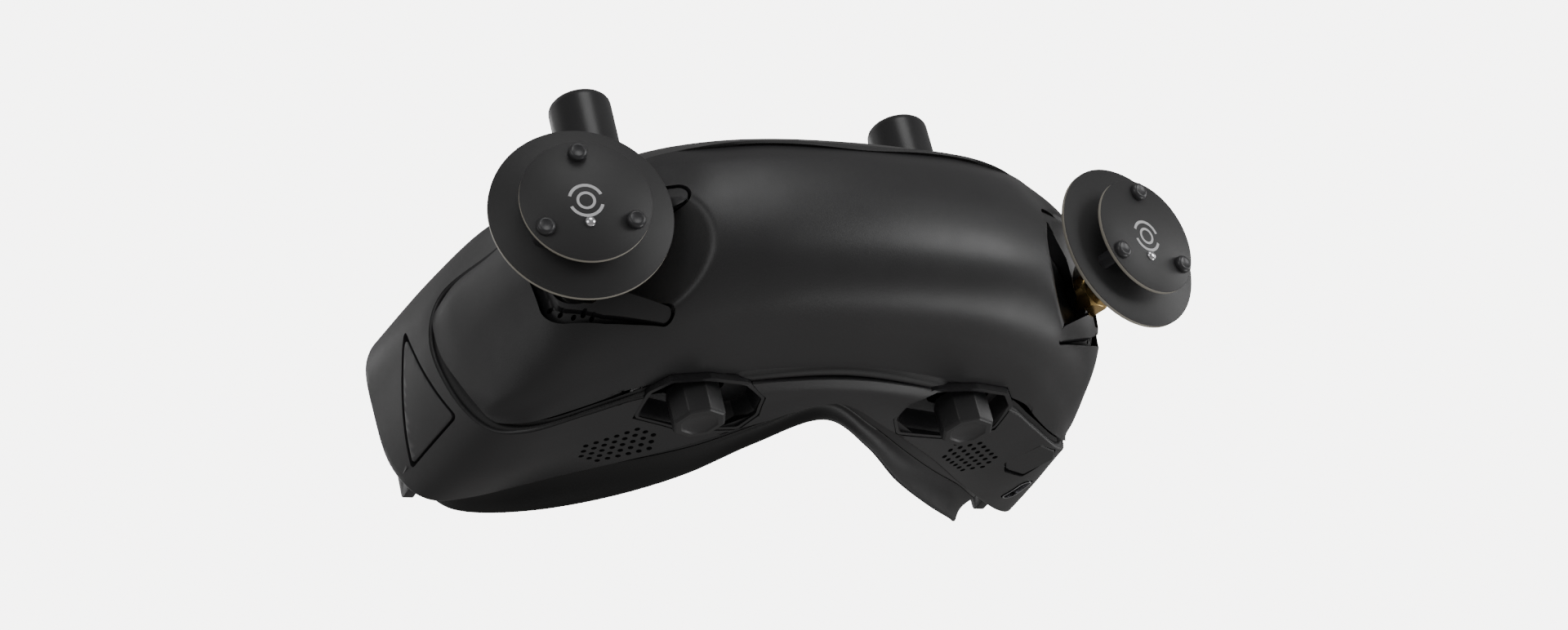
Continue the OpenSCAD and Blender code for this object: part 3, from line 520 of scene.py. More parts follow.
# ---------------------------------------------------------------- the object's lines, right half
COVER_LINES = [
    [(0, -6, 18), (20, -5, 18), (33, -2.2, 17.7), (42, 1, 17.5), (49, 6, 17.4), (55, 12.5, 17.4),
     (60, 22, 17.4), (63.5, 32, 17.3), (66.5, 42, 17), (71, 51.5, 16), (75, 57.5, 11)],
    [(0, -10.2, 10.5), (21, -8.8, 10.5), (35, -5.6, 10.8), (44, -1, 11.5), (52, 3.5, 11.5),
     (58.5, 9.5, 11.5), (64, 19, 11.5), (67.8, 30, 11.5), (70.8, 41, 11.5), (73.6, 50.5, 10.5),
     (75.2, 57.8, 7)],
    [(0, -12, 0), (21.5, -10.6, 0), (35.5, -7.6, 0), (44.5, -4, 0), (53, 1.5, 0), (60, 7.5, 0),
     (66, 17, 0), (69.6, 28.5, 0), (72.3, 40, 0), (74.2, 49.5, -0.5), (75, 56.5, 0)],
    [(0, -10.5, -11), (21.3, -9.2, -11), (35.2, -6.2, -11), (44.3, -2, -11), (53, 4, -11),
     (60, 10.5, -11), (65.6, 19.5, -11), (68.8, 30, -11), (71.2, 40, -11), (72.8, 46.5, -10.5),
     (74, 52, -9.5)],
    [(0, -4, -18.8), (20.6, -2.6, -18.8), (34, 0.8, -18.8), (44, 5, -18.8), (51.5, 11, -18.8),
     (58, 17, -18.8), (63.3, 24.5, -18.8), (66.5, 33, -18.6), (69, 40, -18), (71, 45.5, -17),
     (72, 50.2, -15.5)],
    [(0, 6, -21.3), (19.8, 7.5, -21.3), (31.5, 10.5, -21.5), (42, 15, -21.8), (48.5, 20, -22),
     (54, 25.5, -22.1), (59.5, 31.5, -22.2), (63.5, 37.5, -22), (66.8, 42.5, -21), (69, 46.2, -20),
     (70.8, 49.2, -18.6)],
    [(0, 19, -22), (19, 21, -22.3), (30, 23.3, -22.7), (41, 26.6, -23), (47.9, 29.5, -23.3),
     (52.8, 34, -23.5), (58.4, 38.8, -23.5), (62.5, 41.5, -23.6), (65.5, 43.5, -23.3), (68, 46, -22),
     (69.6, 47.9, -20.6)],
]
HOUSING_RINGS = [
    [(0, -4.9, 18.6), (18, -4, 18.6), (33, -1.2, 18.3), (45, 4.8, 18.1), (54.5, 14.5, 17.9),
     (61, 28, 17.8), (66, 42.5, 17.6), (72.6, 55.5, 15.8), (75.6, 59.3, 6), (74.8, 55.6, -9),
     (70.8, 50.6, -20.3), (64.5, 45, -24.4), (54, 36.8, -24.6), (43, 29.3, -24.4), (22, 23.6, -24),
     (0, 21.2, -23.6)],
    [(0, 3, 24.3), (17, 4, 24.4), (31, 7.5, 24.8), (42.5, 14, 25.5), (51, 24.5, 26.5),
     (57, 36.5, 27.5), (63, 50, 28.5), (73.2, 60.5, 18.6), (76.2, 64.5, 6), (75.2, 61, -9),
     (71, 56, -20.5), (63.5, 51, -24.8), (52.5, 42.5, -25), (40, 33.8, -25), (20, 26.2, -25),
     (0, 23.2, -24.6)],
    [(0, 22, 29), (16, 23, 29), (30, 27, 29.2), (41, 33, 29.5), (50, 42, 29.5), (57, 50, 29.3),
     (67, 66, 28.6), (75.4, 74, 19), (77.2, 76, 6), (76.2, 73, -9), (71.8, 67, -20.5),
     (63.5, 61.5, -24.5), (50, 51.5, -25.2), (37, 41.8, -25.5), (19, 31.5, -25.3), (0, 25.4, -25)],
    [(0, 56, 29.5), (18, 58, 29.5), (33, 63, 29.5), (45, 69, 29.3), (56, 76.5, 28.8),
     (64, 83.5, 28.2), (72, 91, 27), (77.5, 90.5, 19), (78.2, 89.5, 6), (77.2, 88, -8),
     (73.8, 82.5, -19), (66, 77.5, -22), (49, 63.3, -24), (33, 48, -26.8), (15, 35.8, -26.3),
     (0, 28.5, -25.3)],
]
FACE_EDGE = [
    (0, 70, 27), (18, 71.5, 27), (33, 75.5, 26.5), (45, 81, 25.5), (55, 88, 23.5), (62, 95, 19),
    (65.5, 99.5, 11), (66.5, 100.5, 1), (65.5, 97, -9), (62.5, 89.3, -18), (53.3, 76, -25.5),
    (40, 64, -28.8), (26.3, 53, -29.2), (13.9, 42, -27.6), (0, 34.5, -25.6)]
PAD_ROOT = [
    (0, 59, 24), (18, 61, 24), (33, 66, 24), (45, 72, 23.5), (55, 79, 22.5), (63, 85.5, 19.5),
    (66.8, 88.5, 12), (68, 88.5, 2), (67, 87.5, -8), (64, 81, -17), (52, 68.5, -21),
    (39, 57.5, -24), (26, 46.5, -26), (13, 37.5, -25), (0, 31.5, -23)]
FACE_PANEL_LINES = [
    [(0, 56, 26), (16, 57.5, 26), (30, 62, 26), (42, 67.5, 25.5), (52, 73.5, 24.5), (61, 81, 22.5),
     (67, 86, 14)],
    [(0, 48, 18.5), (16, 48, 18.5), (30, 48, 18.5), (42, 48, 18.5), (52, 49.5, 18), (60, 62, 14),
     (68, 85.5, 8)],
    [(0, 46, 6), (14, 48, -2), (26, 48, -12), (40, 48, -16), (52, 50, -15.5), (60, 62, -12),
     (67.5, 84.5, -4)],
    [(0, 27, -21.5), (13, 32.8, -22.3), (26, 42.5, -23.3), (39, 53, -22.3), (50, 62.5, -20.5),
     (58, 70.5, -19), (65.5, 82, -13)],
]
POCKET = [(17.6, 33), (18.4, 28), (23, 24.4), (32, 23.2), (39.7, 24.4), (42.8, 28.4), (42.6, 36.2),
          (32, 39.2), (20, 37)]
DOOR = [(54.1, 51), (59.3, 43.4), (64.4, 46), (65.8, 49.2), (61.5, 56.7), (56, 54.6)]
SIDE_PANEL = [(70, 15), (57.5, -13.5), (79.5, -13)]

WALL, COVER_ROLL, HOUSING_ROLL = 2.2, 1.0, 0.9
GASKET_DEPTH = 1.1
KNOB = (32.3, 30.5)
POD_Z, POD_TRAVEL, EYE_HOLE = 1.0, 3.7, 34.6
TRAY_WALL, TRAY_GAP = 1.2, 0.15
POCKET_DEPTH, POCKET_FACE = 4.5, -25
GRILLE, GRILLE_PITCH, GRILLE_HOLE, GRILLE_TURN = (43, 47.85), 2.3, 0.62, math.radians(40)
GRILLE_ROWS, GRILLE_LONGEST = 2, 8
USB, USB_TURN = (65, 65), math.radians(100)
USB_SPIN = np.array([[math.cos(USB_TURN), math.sin(USB_TURN)], [-math.sin(USB_TURN), math.cos(USB_TURN)]])
NAV, RECORD, BACK = (52, 50), (-48, 47), (-57, 56)
STUB = (40, 36.9)
TOP_HOLES = ((NAV, 4.5), (RECORD, 3.8), (BACK, 3.8))
STUB_HOLE = 3.4
TOP_VENTS, VENT_LENGTH, VENT_WIDTH, VENT_PITCH, VENT_Y = 3, 26, 1.6, 3.2, 24
PANEL_FROM, PANEL_REACH, PANEL_CORNER = 70.0, 20, 1.2
PANEL_GAP, RECESS_GAP = 0.35, 0.45
# name, place on the right side, body radius, bore radius, depth
SOCKETS = (("audio", (67.4, 0.6), 3, 1.8, 12), ("power", (67, -7.6), 4.5, 2.85, 10.9))
SOCKET_FACE, SOCKET_FIT = 76.4, 0.25

# ---- the right patch antenna's frame: local +Z runs out along the connector ----
TOE, DIP = math.radians(13.25), math.radians(5.85)
DISC_X, FEED_DROP = 65.4, 4.9
FEED_UP = np.array([math.sin(TOE) * math.sin(DIP), -math.cos(TOE) * math.sin(DIP), math.cos(DIP)])
FEED = np.array([DISC_X, 0, 0]) - FEED_DROP * FEED_UP
PATCH = Matrix.Translation(FEED) @ Matrix.Rotation(TOE, 4, "Z") @ Matrix.Rotation(math.pi / 2 + DIP, 4, "X")
BOSS_Z, BAY_FLOOR_Z, BAY_RAMP_Z = -17.5, -24.0, 2.0
BOWL_AT, BOWL_R, BOWL_DEPTH, BOWL_LIP, BOWL_SLOPE = (-12, -1), 14.7, 10.0, 1.3, 1.15
BAY_LOW, BAY_HIGH, BAY_MID, BAY_R = (0.5, -4.9), (1.4, 2.2), (-1.6, -1), 6.4
# a hull goes round two circles: centre and radius, centre and radius
BAY_HULLS = [((-21.2, 8.7), 2.3, (-9, 8), 4), ((-9, 8), 4, BAY_HIGH, BAY_R),
             ((-15.6, -14.4), 1.6, (-5, -10.7), 2.8), ((-5, -10.7), 2.8, BAY_LOW, BAY_R),
             (BAY_HIGH, BAY_R, BAY_LOW, BAY_R), (BAY_MID, BAY_R, BAY_LOW, BAY_R),
             (BAY_MID, BAY_R, BAY_HIGH, BAY_R)]
# the raised saddle inside the bay leaves a sunk strip along the bay's lower side, which holds the vents
STRIP_DROP, SADDLE_Z, SADDLE_RISE = 1.8, -13.0, 0.62
SADDLE_LOW, SADDLE_HIGH, SADDLE_ARM = (0.3, -4.8), (0.6, 2.4), (-4.8, -9.9)
ISLAND_HULLS = [((-21.2, 8.7), 2.0, (-9, 8), 3.7), ((-9, 8), 3.7, SADDLE_HIGH, 5.4),
                ((-15.6, -14.4), 1.2, SADDLE_ARM, 2.2), (SADDLE_ARM, 2.2, SADDLE_LOW, 4.2),
                (SADDLE_HIGH, 5.4, SADDLE_LOW, 4.2), (BAY_MID, 6.2, SADDLE_LOW, 4.2),
                (BAY_MID, 6.2, SADDLE_HIGH, 5.4)]
VENTS = [(5.0, -6.3), (3.4, -8.2), (1.2, -9.8), (-0.5, -10.1), (-2.0, -11.3)]
VENT_R, BORE_R = 0.5, 3.3

cover_grid = grid_between([both_sides(line) for line in COVER_LINES], 12, 12)
ring_points = np.transpose([catmull(full_ring(ring), 8, closed=True) for ring in HOUSING_RINGS], (1, 0, 2))
housing_grid = np.array([catmull(column, 10) for column in ring_points])


def hulls(name, shapes, low, high, grow=0.0):
    """A solid along the connector over the hulls of pairs of circles."""
    return united(name, [prism(f"{name}_{k}", capsule(a, ra + grow, b, rb + grow), low, high, PATCH)
                         for k, (a, ra, b, rb) in enumerate(shapes)])


def housing_rows(inset):
    return np.transpose(housing_grid - inset * outward(housing_grid, True), (1, 0, 2))


def closed_housing(inset):
    return capped("housing_space", housing_rows(inset))


def below(outline, low=-40.0, high=-19.0):
    return prism("tool", outline, low, high)


def side_frame(x):
    """Turns an outline in Y and Z into a plate that faces +X from x on."""
    return Matrix(((0, 0, 1, x), (1, 0, 0, 0), (0, 1, 0, 0), (0, 0, 0, 1)))


def usb_oval(length, width, count=14):
    return stadium(length, width, count) @ USB_SPIN + USB


def bowl_fall(x, y):
    """How far the cover drops inside the round bowl on the inner side of each antenna."""
    inside = np.maximum(BOWL_R - np.hypot(x - BOWL_AT[0], y - BOWL_AT[1]), 0)
    fall = BOWL_SLOPE * (np.sqrt(inside ** 2 + BOWL_LIP ** 2) - BOWL_LIP)
    return BOWL_DEPTH * np.tanh(fall / BOWL_DEPTH)


def sink_bowls(obj):
    """Presses both bowls into a part of the cover, along the antenna connectors."""
    mesh = obj.data
    flat = np.empty(len(mesh.vertices) * 3)
    mesh.vertices.foreach_get("co", flat)
    points = flat.reshape(-1, 3) / MM - DATUM
    for side in (-1, 1):
        local = moved_by(points * [side, 1, 1], PATCH.inverted())
        along = np.array(PATCH.to_3x3() @ Vector((0, 0, 1))) * [side, 1, 1]
        points = points - bowl_fall(local[:, 0], local[:, 1])[:, None] * along
    mesh.vertices.foreach_set("co", placed(points).ravel())
    mesh.update()
    return obj


# ---------------------------------------------------------------- shell
def pocket_tool(gap):
    return below(grown(POCKET, TRAY_WALL + gap))


def make_front_cover():
    cover = sink_bowls(shell("front_cover_skin", cover_grid, WALL, COVER_ROLL))
    cut_both(cover, hulls("bay", BAY_HULLS, BAY_FLOOR_Z - 8, 12.0, 0.3))
    cut_both(cover, pocket_tool(TRAY_GAP))
    dress(cleaned(cover), "shell_plastic", "root", "front_cover")


def grille_holes():
    """Staggered rows of holes, the middle row the longest."""
    holes = []
    cos, sin = math.cos(GRILLE_TURN), math.sin(GRILLE_TURN)
    for row in range(-GRILLE_ROWS, GRILLE_ROWS + 1):
        count = GRILLE_LONGEST - abs(row)
        for k in range(count):
            x, y = (k - (count - 1) / 2) * GRILLE_PITCH, row * GRILLE_PITCH * math.sin(math.pi / 3)
            at = (GRILLE[0] + x * cos - y * sin, GRILLE[1] + x * sin + y * cos)
            holes.append(below(circle(at, GRILLE_HOLE, 16)))
    return join("grille_tool", holes)


def make_housing():
    housing = shell("rear_housing_skin", housing_grid, WALL, HOUSING_ROLL, closed=True)
    cut_both(housing, pocket_tool(TRAY_GAP))
    cut_both(housing, grille_holes())
    cut(housing, below(usb_oval(9.6, 3.9, 12)))
    cut(housing, below(rounded(grown(DOOR, 0.3), 0.8)))
    for k in range(-TOP_VENTS, TOP_VENTS + 1):
        slot = stadium(VENT_LENGTH - 2 * abs(k), VENT_WIDTH) + [0, VENT_Y + VENT_PITCH * k]
        cut(housing, prism("vent", slot, 20, 40))
    for at, radius in TOP_HOLES:
        cut(housing, prism("hole", circle(at, radius), 18, 40))
    cut_both(housing, prism("hole", circle(STUB, STUB_HOLE), 20, 40))
    for _, side in SIDES:
        cut(housing, for_side(cut(panel_solid(RECESS_GAP), closed_housing(1.5)), side))
    dress(cleaned(housing), "shell_plastic", "root", "rear_housing")


def panel_solid(grow):
    outline = rounded(grown(SIDE_PANEL, grow), PANEL_CORNER)
    return prism("panel", outline, 0, PANEL_REACH, side_frame(PANEL_FROM))


def make_side_panel(s, side):
    panel = panel_solid(-PANEL_GAP)
    cut(panel, closed_housing(1.4))
    cut(panel, closed_housing(0.12), "INTERSECT")
    if side > 0:
        for _, (y, z), radius, _, _ in SOCKETS:
            across = Matrix.Translation((0, y, z)) @ Matrix.Rotation(math.pi / 2, 4, "Y")
            cut(panel, rod("bore", radius + SOCKET_FIT, 60, 90, 48, across))
    bevelled(cleaned(for_side(panel, side)), 0.3)
    dress(panel, "shell_plastic", "root", f"side_panel_{s}")


def make_gasket():
    ring = housing_grid[:, 0]
    pull = unit(ring * [1, 0, 1])
    outer = ring - GASKET_DEPTH * pull + [0, 0.1, 0]
    ahead = np.array([0, 1, 0])
    section = ((0, 0), (0.15, 0.9), (0.7, 1.5), (1.6, 2.0), (1.8, 3.6), (2.8, 3.6), (2.6, -0.4))
    gasket = closed_ring("gasket_ring", [[o - p * down - ahead * reach for down, reach in section]
                                         for o, p in zip(outer, pull)])
    cut_both(gasket, pocket_tool(0.1))
    cut(gasket, below(grown(DOOR, 0.5)))
    dress(gasket, "gasket_rubber", "root", "seam_gasket", angle=60)


def behind_cover(inset):
    """The space behind a surface that lies `inset` under the cover's outside."""
    rows = cover_grid - inset * outward(cover_grid)
    return capped("ramp", [np.vstack([row, row[-1] + [0, 30, 0], row[0] + [0, 30, 0]]) for row in rows])


def make_bay(s, side):
    """The bay's lining: a sunk strip round a raised saddle, with a well and the connector's boss."""
    floor = BAY_FLOOR_Z - 1.4
    insert = cut(hulls("wall", BAY_HULLS, floor, 12.0), behind_cover(STRIP_DROP), "INTERSECT")
    island = cut(hulls("island", ISLAND_HULLS, floor, 12), behind_cover(0.5), "INTERSECT")
    cut(insert, island, "UNION")
    cone = [(0, -40), (45, -40), (45, SADDLE_Z + SADDLE_RISE * 40), (5, SADDLE_Z), (0, SADDLE_Z)]
    cut(insert, turned("saddle", cone, 96, PATCH), "INTERSECT")
    well = [(capsule((0.2, 0.4), r, (-0.4, -2.4), r), z) for r, z in
            ((5.0, BAY_FLOOR_Z), (5.3, BOSS_Z), (6.2, SADDLE_Z - 0.4), (7.0, SADDLE_Z + 0.4),
             (9.0, BAY_RAMP_Z))]
    cut(insert, lofted_prism("well", well, PATCH))
    boss = [(capsule((0, 0.4), r, (-0.8, -3.8), r - 1.3), z) for r, z in
            ((5.9, BAY_FLOOR_Z - 0.6), (5.6, BAY_FLOOR_Z + 1.5), (5.3, BOSS_Z - 0.9), (5.1, BOSS_Z - 0.3),
             (4.7, BOSS_Z))]
    cut(insert, lofted_prism("boss", boss, PATCH), "UNION")
    for x, y in VENTS:
        cut(insert, rod("vent", VENT_R, -30, 0, 16, PATCH @ Matrix.Translation((x, y, 0))))
    cut(insert, rod("bore", BORE_R, -32, 2, 48, PATCH))
    dress(finished(insert, f"antenna_bay_{s}", side), "trim_black", "root", f"bay_insert_{s}", angle=40)


def make_tray(s, side):
    outline = rounded(POCKET, 1.0, 4)
    floor = POCKET_FACE + POCKET_DEPTH
    tray = below(grown(outline, TRAY_WALL), -30, floor + TRAY_WALL)
    draft = ((0.6, -31), (0.5, -24.6), (0, -23.9), (-0.5, -21.3), (-0.9, floor))
    cut(tray, lofted_prism("hollow", [(grown(outline, by), z) for by, z in draft]))
    cut(tray, prism("slot", stadium(14.8, 7.4, 20) + KNOB, -31, -15))
    rows = housing_rows(0.15)
    cut(tray, capped("space", np.vstack([[rows[0] - [0, 30, 0]], rows])), "INTERSECT")
    dress(finished(tray, f"knob_pocket_{s}", side), "trim_black", "root", f"knob_tray_{s}", angle=25)


def make_knob(s, side):
    at = Matrix.Translation((KNOB[0] * side, KNOB[1], 0))
    layers = [(rounded(circle((0, 0), r, 8), corner, 4), z) for r, corner, z in
              ((5.35, 0.35, -30.0), (5.75, 0.45, -29.75), (6.0, 0.5, -29.3), (6.0, 0.5, -22.0),
               (5.7, 0.4, -21.6), (4.2, 0.3, -21.1))]
    head = lofted_prism("head", layers, at)
    dish = ((4.3, -31), (4.3, -30.0), (3.9, -29.75), (3.8, -29.7))
    cut(head, lofted_prism("dish", [(circle((0, 0), r, 8), z) for r, z in dish], at))
    shaft = [(0, -26), (3, -26), (3, -16.6), (5.2, -16.6), (5.2, -15.9), (0, -15.9)]
    cut(head, turned("shaft", shaft, 48, at), "UNION")
    pin = [(0, -16.2), (1, -16.2), (1, -14.6), (0.8, -14.4), (0, -14.4)]
    cut(head, turned("pin", pin, 24, Matrix.Translation((4 * side, 0, 0)) @ at), "UNION")
    dress(finished(head, f"focus_dial_{s}"), "knob_plastic", f"knob_{s}", f"focus_knob_{s}", angle=30)


# ---------------------------------------------------------------- antennas
GROUND_R, PATCH_R, PLATE_T, PLATE_GAP = 19, 13.5, 1.0, 4.6
PLATE_TOP = PLATE_GAP + PLATE_T
PLATE_EDGE = 0.12
MARK_TOP, MARK_STARTS, MARK_SWEEP = PLATE_TOP + 0.03, (200, 20), 140
NUT_ACROSS, THREAD_R, PITCH = 8, 3.1, 0.7
FLANGE_R, FLANGE_CORNER = 4.5, 0.3


def make_patch(s, side):
    disc = PATCH @ Matrix.Translation((0, FEED_DROP, 0))
    body = f"patch_{s}"
    along = np.array(PATCH.to_3x3() @ Vector((0, 0, 1))) * [side, 1, 1]
    for name, node, radius, low in (("ground", "ground_disc", GROUND_R, -PLATE_T),
                                    ("patch", "patch_disc", PATCH_R, PLATE_GAP)):
        high, inner = low + PLATE_T, radius - PLATE_EDGE
        profile = [(0, low), (inner, low), (radius, low + PLATE_EDGE), (radius, high - PLATE_EDGE),
                   (inner, high), (0, high)]
        plate = for_side(turned(f"{name}_plate_{s}", profile, 128, disc), side)
        dress(plate, "antenna_black", body, f"{node}_{s}", angle=50)
        plate.data.materials.append(MATERIALS["laminate_edge"])
        for poly in plate.data.polygons:
            if abs(np.dot(along, poly.normal)) < 0.5:
                poly.material_index = 1
    tube_profile = [(0.75, -1.0), (2.6, -1.0), (2.6, -11.2), (3.1, -11.3), (3.1, -12.2), (0.75, -12.2)]
    collar = for_side(turned(f"feed_tube_{s}", tube_profile, 48, PATCH), side)
    dress(collar, "connector_gold", body, angle=40)
    pin_profile = [(0, -11), (0.6, -11), (0.6, PLATE_TOP), (1.15, 5.62), (1.1, 5.95), (0.85, 6.2),
                   (0.45, 6.38), (0, 6.42)]
    pin = for_side(turned(f"feed_pin_{s}", pin_profile, 32, PATCH), side)
    dress(pin, "connector_gold", body, material="solder", angle=60)
    head = [(0, 5.58), (1.95, 5.58), (1.98, 6.3), (1.8, 6.75), (1.45, 6.98), (1.3, 7.0), (1.2, 6.93),
            (0, 6.9)]
    rivets = []
    for a in (90, 210, 330):
        at = disc @ Matrix.Rotation(math.radians(a), 4, "Z") @ Matrix.Translation((10.7, 0, 0))
        rivets += [rod("rivet", 1.6, 0.02, PLATE_GAP - 0.02, 40, at), turned("rivet", head, 40, at)]
    posts = for_side(join(f"spacer_posts_{s}", rivets), side)
    dress(posts, "antenna_spacer", body, f"patch_rivets_{s}", angle=40)
    mark = []
    for start in MARK_STARTS:
        end = start + MARK_SWEEP
        band = np.vstack([arc((0, 0), 3.72, start, end, 23), arc((0, 0), 3.08, end, start, 23)])
        mark.append(prism("mark", band, PLATE_TOP, MARK_TOP, disc))
    ring = [(1.42, PLATE_TOP), (1.98, PLATE_TOP), (1.98, MARK_TOP), (1.42, MARK_TOP)]
    mark.append(turned("mark", ring, 64, disc))
    dress(for_side(join(f"ring_mark_{s}", mark), side), "antenna_black", body, material="mark_ink")


def above_boss(*profile):
    return [(r, BOSS_Z + z) for r, z in profile]


def make_nut(s, side):
    radius = NUT_ACROSS / 2 / math.cos(math.radians(30))
    nut = hexagon("nut", radius, 0.25, BOSS_Z + 0.6, BOSS_Z + 7.8, PATCH)
    chamfer = above_boss((0, 0.4), (4.0, 0.4), (4.7, 1.0), (4.7, 5.2), (3.9, 6.0), (3.8, 7.8), (0, 7.8))
    cut(nut, turned("chamfer", chamfer, 64, PATCH), "INTERSECT")
    bore = above_boss((0, -1), (3.4, -1), (3.4, 6.6), (2.9, 6.6), (2.9, 9), (0, 9))
    cut(nut, turned("bore", bore, 48, PATCH))
    finished(nut, f"coupling_nut_{s}", side)
    dress(nut, "connector_gold", f"patch_nut_{s}", f"sma_nut_{s}", angle=25)


def threaded(low, high, matrix):
    """A threaded connector barrel: rounded thread ridges, a lead-in and a socket."""
    root = THREAD_R - 0.35
    profile = [(0, low), (root, low)]
    z = low + 0.3
    while z < high - 0.8:
        profile += [(root, z), (THREAD_R, z + 0.25 * PITCH), (THREAD_R, z + 0.4 * PITCH),
                    (root, z + 0.65 * PITCH)]
        z += PITCH
    profile += [(root, high - 0.3), (root - 0.2, high), (2.2, high), (2.2, high - 1.8), (0.5, high - 1.8),
                (0.5, high - 0.4), (0.3, high - 0.2), (0, high - 0.2)]
    return turned("barrel", profile, 48, matrix)


def make_jacks(s, side):
    flange = hexagon("flange", FLANGE_R, FLANGE_CORNER, BAY_FLOOR_Z - 3.4, BAY_FLOOR_Z - 1.6, PATCH)
    washer = above_boss((3.3, 0), (4.6, 0), (4.6, 0.35), (4.4, 0.45), (3.3, 0.45))
    jack = join(f"antenna_jack_{s}", [threaded(BOSS_Z - 9, BOSS_Z + 5, PATCH), flange,
                                        turned("washer", washer, 48, PATCH)])
    dress(for_side(jack, side), "connector_gold", "root", f"sma_jack_{s}", angle=30)
    at = Matrix.Translation((*STUB, 0))
    flange = hexagon("flange", FLANGE_R, FLANGE_CORNER, 25, 26.4, at)
    top = join(f"top_jack_{s}", [threaded(23.3, 35.5, at), flange])
    dress(for_side(top, side), "connector_gold", "root", f"stub_jack_{s}", angle=30)


def make_stub(s, side):
    base, top, radius, roll = 31.0, 55.5, 7.0, 2.2
    profile = [(0, base + 4), (3.4, base + 4), (3.4, base), (6.3, base), (6.75, base + 0.4),
               (6.75, base + 5.6), (6.55, base + 5.8), (6.55, base + 6.1), (radius, base + 6.4)]
    profile += [(radius - roll * (1 - math.sin(a)), top - roll * (1 - math.cos(a)))
                for a in np.radians([90, 72, 54, 36, 18, 0])]
    profile += [(3.0, top), (2.6, top - 0.18), (0, top - 0.18)]
    stub = turned(f"stub_housing_{s}", profile, 96, Matrix.Translation((STUB[0] * side, STUB[1], 0)))
    dress(stub, "stub_plastic", f"stub_{s}", f"stub_antenna_{s}", angle=30)


# ---------------------------------------------------------------- soft face pad and inner face
FRAME_REACH, FRAME_WALL = 6.5, 3
PAD_WALL = 4.9


def make_face_pad():
    root, edge = catmull(full_ring(PAD_ROOT), 8, True), catmull(full_ring(FACE_EDGE), 8, True)
    pulls = unit(root * [-1, 0, -1])
    rows = []
    for r, e, pull in zip(root, edge, pulls):
        out, half, back = e - r, (r + e) / 2, r - [0, 0.8, 0]
        rows.append([back + 0.1 * pull, r + 0.02 * out + 0.05 * pull, r + 0.22 * out + 0.75 * pull,
                     half + 1.0 * pull, r + 0.8 * out + 0.45 * pull, e - 0.02 * out,
                     e + [0, 0.35, 0] + 0.25 * pull, e + [0, 0.5, 0] + 0.8 * pull,
                     e - 0.06 * out + 1.5 * pull, r + 0.75 * out + 2.6 * pull, half + 3.6 * pull,
                     r + 0.25 * out + 4.4 * pull, r + PAD_WALL * pull, back + PAD_WALL * pull])
    pad = subdivided(closed_ring("face_skirt", rows))
    dress(pad, "face_pad_rubber", "root", "face_pad", angle=70)
    rows = []
    for near in root + 0.3 * pulls:
        pull = unit(near * [-1, 0, -1])
        front, back = near - [0, 0.5, 0], near - [0, FRAME_REACH, 0]
        rows.append([front, back, back + FRAME_WALL * pull, front + FRAME_WALL * pull])
    dress(closed_ring("pad_frame", rows), "trim_black", "root", "face_frame")


def make_inner_panel():
    grid = grid_between([both_sides(line) for line in FACE_PANEL_LINES], 8, 12)
    panel = shell("inner_panel", grid, 1.4, 0.5)
    eye = stadium(2 * POD_TRAVEL + EYE_HOLE, EYE_HOLE, 40) + [KNOB[0], 0]
    along_y = Matrix.Translation((0, 0, POD_Z)) @ Matrix.Rotation(-math.pi / 2, 4, "X")
    cut_both(panel, prism("eye", eye, 20, 90, along_y))
    dress(cleaned(panel), "inner_black", "root", "inner_face_panel")


# ---------------------------------------------------------------- optics, controls and small parts
def make_eyepiece(s, side):
    """The lens barrel, with the slotted yoke that its knob's pin drives."""
    centre = [KNOB[0] * side, 0]
    at = Matrix.Translation((*centre, POD_Z)) @ Matrix.Rotation(-math.pi / 2, 4, "X")
    r = 14.3
    profile = [(r - 1.6, 35), (r - 0.2, 35), (r, 35.3), (r, 51.5), (r - 0.35, 51.8), (r - 0.35, 52.4),
               (r, 52.7), (r, 55.0), (r - 0.3, 55.7), (r - 0.8, 56), (r - 1.3, 55.8), (r - 1.6, 55.2)]
    barrel = turned("barrel", profile, 96, at)
    yoke = prism("yoke", rounded(rectangle(-2, 27.75, 6, 36.5), 0.6, 3) * [side, 1] + centre, -15.6, -14.4)
    cut(yoke, prism("slot", rectangle(1.2, 29.15, 5.35, 31.85) * [side, 1] + centre, -17, -12))
    cut(barrel, prism("lug", rounded(rectangle(-5, 35, 5, 39), 0.5, 3) + centre, -15.6, -12.4), "UNION")
    cut(barrel, yoke, "UNION")
    finished(barrel, f"eyepiece_barrel_{s}")
    dress(barrel, "barrel_plastic", f"eyepiece_{s}", f"eyepiece_{s}", angle=40)


def make_button(name, at, node, body, slot):
    profile = [(0, 25.3), (4.4, 25.3), (4.5, 25.5), (4.5, 26.2), (4.3, 26.3), (3.5, 26.3), (3.5, 30.4),
               (3.35, 30.8), (2.9, 31.0), (2.2, 30.9), (1.2, 30.75), (0, 30.7)]
    dress(turned(name, profile, 64, Matrix.Translation((*at, 0))), slot, body, node, angle=40)


def make_nav_cap():
    """The stick's cap, with a ring of flutes."""
    profile = [(0, 30.4), (1.35, 30.4), (1.35, 28), (2.8, 28), (3.0, 28.2), (3.0, 31.6), (2.85, 32.1),
               (2.4, 32.4), (1.6, 32.2), (0, 32.0)]
    cap = turned("stick_cap", profile, 64, Matrix.Translation((*NAV, 0)))
    for x, y in circle(NAV, 3.15, 12):
        cut(cap, rod("flute", 0.35, 28.6, 33, 12, Matrix.Translation((x, y, 0))))
    dress(cleaned(cap), "trim_black", "nav_top", "nav_cap")


